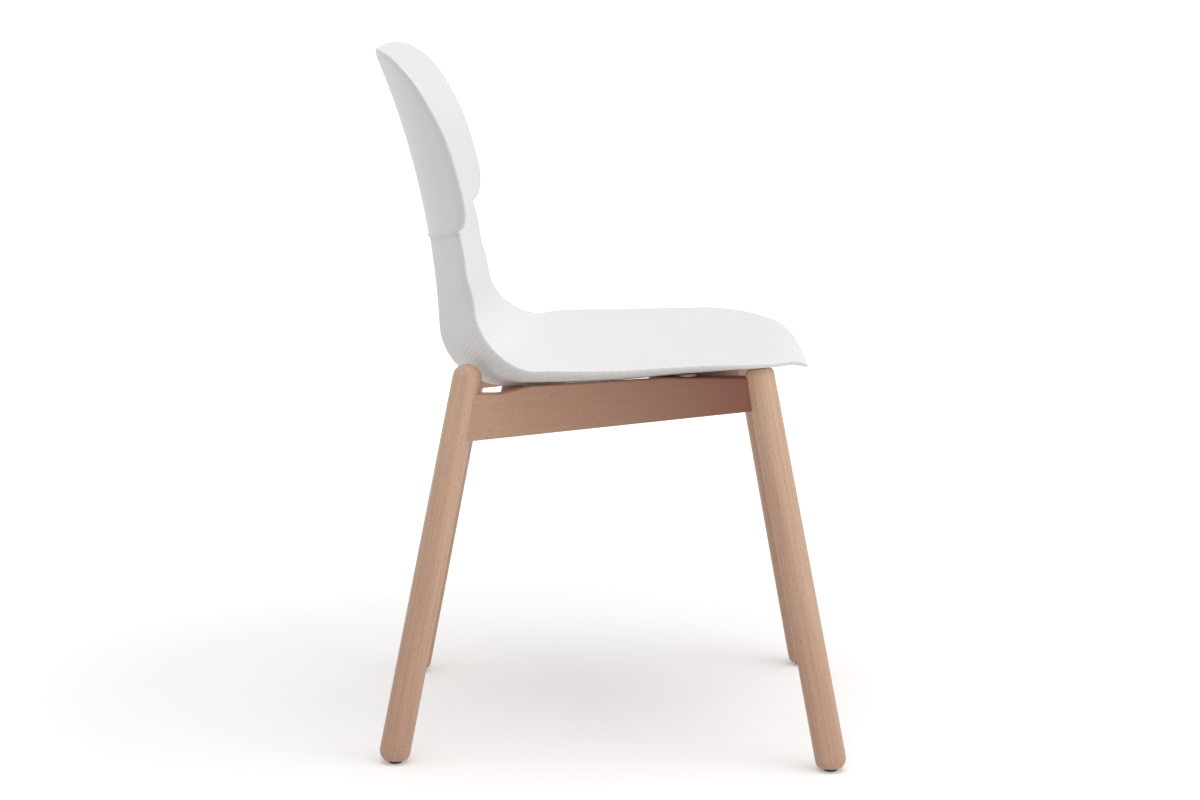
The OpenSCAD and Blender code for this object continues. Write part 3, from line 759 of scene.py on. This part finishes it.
def build_side_rail(side, edge):
    """A board carried from leg to leg: a rounded rectangle between the rail's two edges, bevelled.

    Each end follows its leg's slant, so the place along the rail is worked out from the height, and
    the height from that place, a few times over.
    """
    surface = Surface()
    low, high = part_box(f"{side}_side_rail")
    y_middle, y_half = (low.y + high.y) / 2, (high.y - low.y) / 2
    cy, cz, oy, oz = section(edge)
    u = np.concatenate([np.linspace(0, DIP_SHARE, 40), np.linspace(DIP_SHARE, 1, 60)[1:]])[:, None]
    x = leg_x("rear", RAIL_END_HEIGHTS[0]) * (1 - u) + leg_x("front", RAIL_END_HEIGHTS[1]) * u
    for _ in range(3):
        bottom, top = rail_low(x), rail_top(x)
        z = (bottom + top) / 2 + cz * ((top - bottom) / 2 - edge) + oz
        x = leg_x("rear", z) * (1 - u) + leg_x("front", z) * u
    y = np.broadcast_to(y_middle + cy * (y_half - edge) + oy, x.shape)
    bevel_start = y_middle * SIDES[side] - y_half + BEVEL_WIDTH
    z = np.minimum(z, bevel(x, bevel_start - y * SIDES[side]))
    rows = closed_round(surface.add(np.stack([x, y, z], axis=-1)))
    surface.grid(rows)
    close_ends(surface, rows)
    data = surface.mesh(f"{side}_side_rail_board")
    grain_place(data, RAIL_GRAIN, RAIL_PITH + (0, y_middle, 0), turn=0.2)
    return data


def build_cross_rail(name, edge):
    """A flat board between the side rails: a rounded rectangle carried sideways."""
    surface = Surface()
    low, high = (np.array(v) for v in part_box(name))
    cx, cz, ox, oz = section(edge)
    middle, half = (low + high) / 2, (high - low) / 2
    x = middle[0] + cx * (half[0] - edge) + ox
    z = middle[2] + cz * (half[2] - edge) + oz
    x, y, z = np.broadcast_arrays(x, np.linspace(low[1], high[1], 40)[:, None], z)
    rows = closed_round(surface.add(np.stack([x, y, z], axis=-1)))
    surface.grid(rows)
    close_ends(surface, rows)
    data = surface.mesh(f"{name}_board")
    grain_place(data, CROSS_GRAIN, CROSS_PITH + (middle[0], 0, middle[2]), turn=0.1)
    return data


def build_bumper(side):
    """A soft pad between rail and shell: a round plan, bulging sides, slanted top and bottom."""
    surface = Surface()
    low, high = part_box(f"{side}_bumper")
    rail_low_corner, rail_high_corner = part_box(f"{side}_side_rail")
    cx, cy = (low.x + high.x) / 2, (low.y + high.y) / 2
    radius = (high.x - low.x) / 2
    # Rows lie closer near the top and the bottom, where the sides turn in
    share = np.concatenate([
        np.linspace(0.02, 0.16, 5),
        np.linspace(0.16, 0.84, 9)[1:-1],
        np.linspace(0.84, 0.98, 5),
    ])
    out = (1 - np.abs(2 * share - 1) ** BUMPER_POWER) ** (1 / BUMPER_POWER)
    turn = np.linspace(0, 2 * np.pi, 48, endpoint=False)
    x = cx + radius * out[:, None] * np.cos(turn)
    y = cy + radius * out[:, None] * np.sin(turn)
    bevel_start = cy * SIDES[side] - (rail_high_corner.y - rail_low_corner.y) / 2 + BEVEL_WIDTH
    seat = np.minimum(rail_top(x), bevel(x, bevel_start - y * SIDES[side])) + BUMPER_GAP
    z = seat * (1 - share[:, None]) + (under_shell(x, y) - SHELL_GAP) * share[:, None]
    rows = closed_round(surface.add(np.stack([x, y, z], axis=-1)))
    surface.grid(rows)
    close_ends(surface, rows)
    return surface.mesh(f"{side}_bumper_pad")


def build_glide(name):
    """A moulded foot: a low disc with a rounded lower edge and a shallow dish over its nail.

    The profile runs from the dish out over the rounded edge and back in over the top.
    """
    surface = Surface()
    low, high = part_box(name)
    r, h = (high.x - low.x) / 2, high.z - low.z
    edge = 0.0013
    profile = np.concatenate([
        [(0.0012, 0.0005), (0.0012, 0.0028), (0.0004, 0.0036), (0.0, 0.0042)],
        arc(edge, r - edge, edge, -90, 0, 7),
        [(h * 0.6, r), (h * 0.9, r * 0.985), (h, r * 0.96), (h, 0.001)],
    ])
    add_lathe(surface, profile, ((low.x + high.x) / 2, (low.y + high.y) / 2, low.z), (0, 0, 1), 48)
    return surface.mesh(f"{name}_disc")


def add_boss(surface, x, y, bottom, radius):
    """A short tube with a bore, flared where it meets the shell's outside."""
    turn = np.linspace(0, 2 * np.pi, BOSS_COLUMNS, endpoint=False)
    px = x + radius * BOSS_FLARE[:, None] * np.cos(turn)
    py = y + radius * BOSS_FLARE[:, None] * np.sin(turn)
    share = BOSS_HEIGHTS[:, None]
    pz = bottom * (1 - share) + (under_shell(px, py) + BOSS_SINK) * share
    rows = closed_round(surface.add(np.stack([px, py, pz], axis=-1)))
    surface.grid(rows)
    bx, by = x + BORE_RADIUS * np.cos(turn), y + BORE_RADIUS * np.sin(turn)
    bore = closed_round(surface.add(np.stack([bx, by, np.full(BOSS_COLUMNS, bottom)], axis=-1)[None]))
    surface.strip(bore[0], rows[0])
    tall = float(under_shell(np.array(x), np.array(y))) - bottom
    end = surface.add(np.array([[x, y, bottom + min(tall, BORE_DEPTH)]]))
    surface.fan(bore[0], end[0])


def add_bosses(surface, width):
    """Four bosses under the shell: two in line with the bumpers, two over the rear cross rail."""
    for rail, in_line in (("front_cross_rail", "right_bumper"), ("rear_cross_rail", "rear_cross_rail")):
        rail_top_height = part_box(rail)[1].z
        low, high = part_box(in_line)
        for side in SIDES.values():
            add_boss(surface, (low.x + high.x) / 2, side * SCREW_Y, rail_top_height, width / 2)


# ---------------------------------------------------------------------------------------------
# Materials
# ---------------------------------------------------------------------------------------------


def wire(tree, kind, inputs=(), **settings):
    """A node with its settings and inputs; an input is a value or another node's socket."""
    node = tree.nodes.new(kind)
    for key, value in settings.items():
        setattr(node, key, value)
    for key, value in dict(inputs).items():
        if isinstance(value, bpy.types.NodeSocket):
            tree.links.new(value, node.inputs[key])
        else:
            node.inputs[key].default_value = value
    return node


def new_group(name, sockets_in, sockets_out):
    """An empty shader node group with named sockets, and its two end nodes."""
    tree = bpy.data.node_groups.new(name, "ShaderNodeTree")
    for title, kind, default in sockets_in:
        socket = tree.interface.new_socket(name=title, in_out="INPUT", socket_type=kind)
        if default is not None:
            socket.default_value = default
    for title, kind in sockets_out:
        tree.interface.new_socket(name=title, in_out="OUTPUT", socket_type=kind)
    return tree, tree.nodes.new("NodeGroupInput"), tree.nodes.new("NodeGroupOutput")


def ramp(tree, fac, low, high, low_out=0.0, high_out=1.0):
    """Carries a value from one range to another and stops at its ends."""
    return wire(tree, "ShaderNodeMapRange", {
        "Value": fac, "From Min": low, "From Max": high, "To Min": low_out, "To Max": high_out
    }).outputs[0]


def combine(tree, operation, a, b, **settings):
    """Two values worked out together."""
    return wire(tree, "ShaderNodeMath", {0: a, 1: b}, operation=operation, **settings).outputs[0]


def noise(tree, vector, scale, detail, rough, warp=0.0):
    """A noise value."""
    return wire(tree, "ShaderNodeTexNoise", {
        "Vector": vector, "Scale": scale, "Detail": detail, "Roughness": rough, "Distortion": warp
    }).outputs[0]


def mix_colour(tree, fac, a, b):
    """One colour turned into another by a value."""
    node = wire(tree, "ShaderNodeMix", data_type="RGBA")
    for index, value in ((0, fac), (6, a), (7, b)):
        if isinstance(value, bpy.types.NodeSocket):
            tree.links.new(value, node.inputs[index])
        else:
            node.inputs[index].default_value = (*value, 1.0) if index else value
    return node.outputs[2]


def stretched(tree, vector, scale):
    """A vector scaled along each axis."""
    return wire(tree, "ShaderNodeVectorMath", {0: vector, 1: scale}, operation="MULTIPLY").outputs[0]


def beech_group():
    """Beech: bands and fine lines along the grain, pores, short dark rays, and a darker, redder tone.

    That tone sets in between two places along the grain. On the legs it is painted shade, darker towards
    the feet. On the rails it is painted shade under the seat together with redder heartwood, darker and
    redder towards the front end.
    """
    tree, ins, outs = new_group(
        "beech_grain",
        [("Place", "NodeSocketVector", None), ("Light", "NodeSocketColor", (0.6, 0.4, 0.3, 1)),
         ("Late", "NodeSocketColor", (0.45, 0.28, 0.18, 1)),
         ("Ray", "NodeSocketColor", (0.2, 0.1, 0.06, 1)),
         ("Bands", "NodeSocketFloat", 0.5), ("Rays", "NodeSocketFloat", 0.6),
         # A darker, redder tone mixed in along the grain: painted shade, on the rails together with
         # redder heartwood
         ("Heart", "NodeSocketColor", (0.21, 0.055, 0.03, 1)), ("Heart From", "NodeSocketFloat", 0.0),
         ("Heart To", "NodeSocketFloat", 1.0), ("Heart Share", "NodeSocketFloat", 0.0)],
        [("Color", "NodeSocketColor"), ("Roughness", "NodeSocketFloat"), ("Height", "NodeSocketFloat")],
    )
    place_in = ins.outputs["Place"]
    wide = noise(tree, stretched(tree, place_in, (1.6, 55, 55)), 1.0, 3.0, 0.5, 0.6)
    lines = noise(tree, stretched(tree, place_in, (7, 420, 420)), 1.0, 4.0, 0.6, 0.3)
    pores = noise(tree, stretched(tree, place_in, (90, 1900, 1900)), 1.0, 2.0, 0.5)
    dashes = noise(tree, stretched(tree, place_in, (330, 1500, 700)), 1.0, 2.0, 0.45)
    bands = combine(tree, "MULTIPLY", ramp(tree, wide, 0.35, 0.68), ins.outputs["Bands"])
    fine = ramp(tree, lines, 0.42, 0.66, 0.0, 0.45)
    both = combine(tree, "ADD", bands, fine, use_clamp=True)
    along = wire(tree, "ShaderNodeSeparateXYZ", {0: place_in}).outputs["X"]
    # How far the darker, redder tone reaches along the grain: painted shade, on the rails together with
    # redder heartwood
    shade_and_heartwood = ramp(tree, along, ins.outputs["Heart From"], ins.outputs["Heart To"], 0.0,
                 ins.outputs["Heart Share"])
    sap = mix_colour(tree, both, ins.outputs["Light"], ins.outputs["Late"])
    body = mix_colour(tree, shade_and_heartwood, sap, ins.outputs["Heart"])
    ray_mask = combine(tree, "MULTIPLY", ramp(tree, dashes, 0.63, 0.70), ins.outputs["Rays"])
    pore_mask = ramp(tree, pores, 0.62, 0.75, 0.0, 0.35)
    dark = combine(tree, "MAXIMUM", ray_mask, pore_mask)
    tree.links.new(mix_colour(tree, dark, body, ins.outputs["Ray"]), outs.inputs["Color"])
    tree.links.new(ramp(tree, lines, 0.3, 0.7, 0.42, 0.56), outs.inputs["Roughness"])
    tree.links.new(combine(tree, "SUBTRACT", lines, dark), outs.inputs["Height"])


def moulded_group():
    """Moulded plastic: a fine even grain, a faint cloudiness and a few dull rub marks."""
    tree, ins, outs = new_group(
        "moulded_grain",
        [("Place", "NodeSocketVector", None), ("Tint", "NodeSocketColor", (0.8, 0.8, 0.8, 1)),
         ("Cloud", "NodeSocketFloat", 0.04), ("Grain", "NodeSocketFloat", 900.0),
         ("Dull", "NodeSocketFloat", 0.5)],
        [("Color", "NodeSocketColor"), ("Roughness", "NodeSocketFloat"), ("Height", "NodeSocketFloat")],
    )
    place_in = ins.outputs["Place"]
    cloud = noise(tree, place_in, 7.0, 3.0, 0.5)
    fine = noise(tree, place_in, ins.outputs["Grain"], 2.0, 0.6)
    rubs = noise(tree, stretched(tree, place_in, (60, 60, 18)), 1.0, 5.0, 0.7, 1.5)
    shade = combine(tree, "MULTIPLY", ramp(tree, cloud, 0.3, 0.7), ins.outputs["Cloud"])
    tree.links.new(mix_colour(tree, shade, ins.outputs["Tint"], (0.1, 0.1, 0.1)), outs.inputs["Color"])
    dull = combine(tree, "ADD", ramp(tree, rubs, 0.55, 0.75, 0.0, 0.12), ins.outputs["Dull"])
    uneven = combine(tree, "ADD", ramp(tree, fine, 0.3, 0.7, -0.04, 0.04), dull)
    tree.links.new(uneven, outs.inputs["Roughness"])
    tree.links.new(fine, outs.inputs["Height"])


def metal_group():
    """Plated metal: fine turning lines, small stains and an uneven shine."""
    tree, ins, outs = new_group(
        "plated_metal",
        [("Place", "NodeSocketVector", None), ("Tint", "NodeSocketColor", (0.6, 0.6, 0.6, 1)),
         ("Stain", "NodeSocketColor", (0.25, 0.22, 0.2, 1))],
        [("Color", "NodeSocketColor"), ("Roughness", "NodeSocketFloat"), ("Height", "NodeSocketFloat")],
    )
    place_in = ins.outputs["Place"]
    lines = noise(tree, stretched(tree, place_in, (300, 300, 6000)), 1.0, 2.0, 0.5)
    stains = noise(tree, place_in, 420.0, 5.0, 0.65)
    tree.links.new(mix_colour(tree, ramp(tree, stains, 0.52, 0.75, 0.0, 0.6), ins.outputs["Tint"],
                              ins.outputs["Stain"]), outs.inputs["Color"])
    tree.links.new(ramp(tree, stains, 0.35, 0.7, 0.28, 0.5), outs.inputs["Roughness"])
    tree.links.new(lines, outs.inputs["Height"])


def finish(name, group, place_from, values, bump, distance, **constants):
    """A material: one of the groups on a Principled BSDF, with a bump from the group's height."""
    material = bpy.data.materials.new(name)
    material.use_nodes = True
    tree = material.node_tree
    tree.nodes.clear()
    out = tree.nodes.new("ShaderNodeOutputMaterial")
    shader = tree.nodes.new("ShaderNodeBsdfPrincipled")
    tree.links.new(shader.outputs[0], out.inputs["Surface"])
    effect = tree.nodes.new("ShaderNodeGroup")
    effect.node_tree = bpy.data.node_groups[group]
    if place_from == "object":
        source = tree.nodes.new("ShaderNodeTexCoord").outputs["Object"]
    else:
        source = wire(tree, "ShaderNodeAttribute", attribute_name=place_from).outputs["Vector"]
    tree.links.new(source, effect.inputs["Place"])
    for key, value in values.items():
        effect.inputs[key].default_value = (*value, 1.0) if hasattr(value, "__len__") else value
    tree.links.new(effect.outputs["Color"], shader.inputs["Base Color"])
    tree.links.new(effect.outputs["Roughness"], shader.inputs["Roughness"])
    bumps = wire(tree, "ShaderNodeBump", {
        "Strength": bump, "Distance": distance, "Height": effect.outputs["Height"]
    })
    tree.links.new(bumps.outputs[0], shader.inputs["Normal"])
    for key, value in constants.items():
        shader.inputs[key.replace("_", " ")].default_value = value
    return material


def make_materials(scene):
    """All the finishes of the chair, by name."""
    shell, wood, fit = scene.chair_shell, scene.chair_wood, scene.chair_fittings
    for build in (beech_group, moulded_group, metal_group):
        build()
    beech = {"Late": wood.late_tint, "Ray": wood.fleck_tint}
    finish("white_polypropylene", "moulded_grain", "object",
           {"Tint": shell.tint, "Cloud": 0.02, "Grain": 1400.0, "Dull": 0.46}, 0.10, 0.0002)
    # Legs: the darker, redder tone is painted shade, darker towards the feet
    finish("turned_beech", "beech_grain", "grain_place",
           {"Light": wood.leg_tint, "Bands": 0.45, "Rays": 0.55,
            "Heart From": 0.45, "Heart To": 0.0, "Heart Share": 0.22, **beech}, 0.25, 0.0002)
    # Rails: the darker, redder tone is painted shade under the seat together with redder heartwood,
    # darker and redder towards the front end
    finish("sawn_beech", "beech_grain", "grain_place",
           {"Light": wood.rail_tint, "Bands": 0.6, "Rays": 0.5,
            "Heart From": -0.43, "Heart To": -0.15, "Heart Share": 0.85, **beech}, 0.25, 0.0002)
    finish("dowel_beech", "beech_grain", "object",
           {"Light": wood.leg_tint, "Bands": 0.3, "Rays": 0.3, **beech}, 0.3, 0.0002)
    finish("black_nylon", "moulded_grain", "object",
           {"Tint": fit.glide_tint, "Cloud": 0.0, "Grain": 2500.0, "Dull": 0.42}, 0.2, 0.0001)
    finish("soft_rubber", "moulded_grain", "object",
           {"Tint": fit.bumper_tint, "Cloud": 0.1, "Grain": 2000.0, "Dull": 0.7}, 0.2, 0.0001)
    finish("zinc_steel", "plated_metal", "object", {"Tint": fit.steel_tint}, 0.1, 0.0001, Metallic=1.0)
    finish("turned_brass", "plated_metal", "object",
           {"Tint": fit.brass_tint, "Stain": (0.3, 0.18, 0.08)}, 0.1, 0.0001, Metallic=1.0)


# ---------------------------------------------------------------------------------------------
# Operators
# ---------------------------------------------------------------------------------------------


class ChairStep(bpy.types.Operator):
    """Common part of the chair's operators."""

    bl_options = {"REGISTER", "UNDO"}


class CHAIR_OT_finishes(ChairStep):
    """Makes the finishes of wood, plastic, rubber and metal"""

    bl_idname = "chair.finishes"
    bl_label = "Finishes"

    def execute(self, context):
        make_materials(context.scene)
        return {"FINISHED"}


class CHAIR_OT_shell(ChairStep):
    """Builds the pleated seat shell and its bosses"""

    bl_idname = "chair.shell"
    bl_label = "Seat Shell"

    def execute(self, context):
        cfg = context.scene.chair_shell
        surface = build_shell(cfg)
        add_bosses(surface, cfg.boss_width)
        data = surface.mesh("pleated_shell")
        plastic = bpy.data.materials["white_polypropylene"]
        place("pleated_shell", data, plastic, "shell_plastic", "seat_shell")
        return {"FINISHED"}


class CHAIR_OT_legs(ChairStep):
    """Builds the four turned legs"""

    bl_idname = "chair.legs"
    bl_label = "Legs"

    def execute(self, context):
        for side in SIDES:
            for end in ("front", "rear"):
                data = build_leg(end, side)
                node = f"{side}_{end}_leg"
                place(data.name, data, bpy.data.materials["turned_beech"], "beech_leg", node)
        return {"FINISHED"}


class CHAIR_OT_rails(ChairStep):
    """Builds the side rails and cross rails"""

    bl_idname = "chair.rails"
    bl_label = "Rails"

    def execute(self, context):
        edge = context.scene.chair_wood.edge
        wood = bpy.data.materials["sawn_beech"]
        for side in SIDES:
            data = build_side_rail(side, edge)
            place(data.name, data, wood, "beech_rail", f"{side}_side_rail")
        for node in ("front_cross_rail", "rear_cross_rail"):
            data = build_cross_rail(node, edge)
            place(data.name, data, wood, "beech_rail", node)
        return {"FINISHED"}


class CHAIR_OT_pads(ChairStep):
    """Builds the bumpers under the shell and the glides under the legs"""

    bl_idname = "chair.pads"
    bl_label = "Bumpers and Glides"

    def execute(self, context):
        for side in SIDES:
            data = build_bumper(side)
            place(data.name, data, bpy.data.materials["soft_rubber"], "bumper_rubber", f"{side}_bumper")
            for end in ("front", "rear"):
                node = f"{side}_{end}_glide"
                data = build_glide(node)
                place(data.name, data, bpy.data.materials["black_nylon"], "glide_plastic", node)
        return {"FINISHED"}


class CHAIR_OT_fixings(ChairStep):
    """Gives the dowels, inserts, screws, washers and nails their finishes"""

    bl_idname = "chair.fixings"
    bl_label = "Fixings"

    def execute(self, context):
        finishes = {
            "leg_dowels": "dowel_beech",
            "cross_rail_dowels": "dowel_beech",
            "threaded_inserts": "turned_brass",
            "seat_screws": "zinc_steel",
            "seat_washers": "zinc_steel",
            "glide_nails": "zinc_steel",
        }
        for node, name in finishes.items():
            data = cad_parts[node].data
            data.materials.clear()
            data.materials.append(bpy.data.materials[name])
        return {"FINISHED"}


# Each lamp's name, which is also its power's setting, its width and its place
LAMPS = (
    ("key", 2.6, (0.3, -0.6, 2.9)),
    ("fill", 1.6, (2.4, -2.0, 0.8)),
    ("front", 1.4, (2.6, -0.6, 1.8)),
)
LAMP_TARGET = (0, 0, 0.4)
FLOOR_REACH = 30


def area_lamp(name, watts, size, spot):
    """A square lamp at a spot, turned to the chair."""
    data = bpy.data.lights.new(name, "AREA")
    data.energy, data.shape, data.size = watts, "SQUARE", size
    lamp = bpy.data.objects.new(name, data)
    lamp.location = spot
    lamp.rotation_euler = (Vector(LAMP_TARGET) - Vector(spot)).to_track_quat("-Z", "Y").to_euler()
    bpy.context.scene.collection.objects.link(lamp)


class CHAIR_OT_stage(ChairStep):
    """Sets up the floor, the light and the camera"""

    bl_idname = "chair.stage"
    bl_label = "Stage"

    def execute(self, context):
        scene, cfg = context.scene, context.scene.chair_stage
        camera = bpy.data.objects.new("view", bpy.data.cameras.new("view"))
        camera.data.sensor_width, camera.data.lens = 36.0, cfg.lens
        camera.data.clip_start, camera.data.clip_end = 0.05, 100.0
        camera.location = cfg.eye
        camera.rotation_euler = (cfg.pitch, 0.0, 0.0)
        scene.collection.objects.link(camera)
        scene.camera = camera

        floor = bpy.data.meshes.new("floor")
        corners = [(x * FLOOR_REACH, y * FLOOR_REACH, 0) for x, y in ((-1, -1), (1, -1), (1, 1), (-1, 1))]
        floor.from_pydata(corners, [], [(0, 1, 2, 3)])
        floor.materials.append(self.floor_finish())
        ground = bpy.data.objects.new("floor", floor)
        scene.collection.objects.link(ground)

        for name, size, spot in LAMPS:
            area_lamp(name, getattr(cfg, name), size, spot)
        self.world(scene, cfg.ambient)
        scene.view_settings.view_transform = "Standard"
        return {"FINISHED"}

    def seen_directly(self, tree):
        """One for camera, mirror and glass rays, otherwise nought."""
        path = tree.nodes.new("ShaderNodeLightPath")
        first = combine(tree, "MAXIMUM", path.outputs["Is Camera Ray"], path.outputs["Is Glossy Ray"])
        return combine(tree, "MAXIMUM", first, path.outputs["Is Transmission Ray"])

    def floor_finish(self):
        """A pale floor that reads as white where the lamps reach it and keeps the chair's shadow."""
        material = bpy.data.materials.new("pale_floor")
        material.use_nodes = True
        tree = material.node_tree
        shader = tree.nodes["Principled BSDF"]
        shader.inputs["Roughness"].default_value = 0.9
        shader.inputs["Specular IOR Level"].default_value = 0.0
        seen = self.seen_directly(tree)
        tone = mix_colour(tree, seen, (0.80, 0.80, 0.80), (0.98, 0.98, 0.98))
        tree.links.new(tone, shader.inputs["Base Color"])
        shader.inputs["Emission Color"].default_value = (1, 1, 1, 1)
        spot = tree.nodes.new("ShaderNodeTexCoord").outputs["Object"]
        away = wire(tree, "ShaderNodeVectorMath", {0: spot}, operation="LENGTH").outputs["Value"]
        paler = ramp(tree, away, 0.6, 3.0, 0.22, 1.0)
        tree.links.new(combine(tree, "MULTIPLY", seen, paler), shader.inputs["Emission Strength"])
        return material

    def world(self, scene, ambient):
        """Even light all round, white where the camera sees it."""
        world = bpy.data.worlds.new("room")
        world.use_nodes = True
        tree = world.node_tree
        sky = tree.nodes["Background"]
        strength = ramp(tree, self.seen_directly(tree), 0, 1, ambient, 1.0)
        tree.links.new(strength, sky.inputs["Strength"])
        sky.inputs["Color"].default_value = (1, 1, 1, 1)
        scene.world = world


STEPS = (
    ("chair.finishes", CHAIR_OT_finishes),
    ("chair.stage", CHAIR_OT_stage),
    ("chair.shell", CHAIR_OT_shell),
    ("chair.legs", CHAIR_OT_legs),
    ("chair.rails", CHAIR_OT_rails),
    ("chair.pads", CHAIR_OT_pads),
    ("chair.fixings", CHAIR_OT_fixings),
)


class CHAIR_PT_panel(bpy.types.Panel):
    """Lists the chair's settings and its operators"""

    bl_label = "Chair"
    bl_idname = "CHAIR_PT_panel"
    bl_space_type = "VIEW_3D"
    bl_region_type = "UI"
    bl_category = "Chair"

    def draw(self, context):
        layout = self.layout
        for group in (context.scene.chair_shell, context.scene.chair_wood,
                      context.scene.chair_fittings, context.scene.chair_stage):
            box = layout.box()
            for key in group.__annotations__:
                box.prop(group, key)
        for idname, _ in STEPS:
            layout.operator(idname)


SETTINGS = {
    "chair_shell": ShellSettings,
    "chair_wood": WoodSettings,
    "chair_fittings": FittingSettings,
    "chair_stage": StageSettings,
}


def register():
    """Registers the settings, the operators and the panel."""
    for key, kind in SETTINGS.items():
        bpy.utils.register_class(kind)
        setattr(bpy.types.Scene, key, PointerProperty(type=kind))
    for _, kind in STEPS:
        bpy.utils.register_class(kind)
    bpy.utils.register_class(CHAIR_PT_panel)


def unregister():
    """Takes everything back that register added."""
    bpy.utils.unregister_class(CHAIR_PT_panel)
    for _, kind in reversed(STEPS):
        bpy.utils.unregister_class(kind)
    for key, kind in SETTINGS.items():
        delattr(bpy.types.Scene, key)
        bpy.utils.unregister_class(kind)


def main():
    """Builds the chair step by step."""
    register()
    for idname, _ in STEPS:
        module, name = idname.split(".")
        getattr(getattr(bpy.ops, module), name)()


if __name__ == "__main__":
    main()
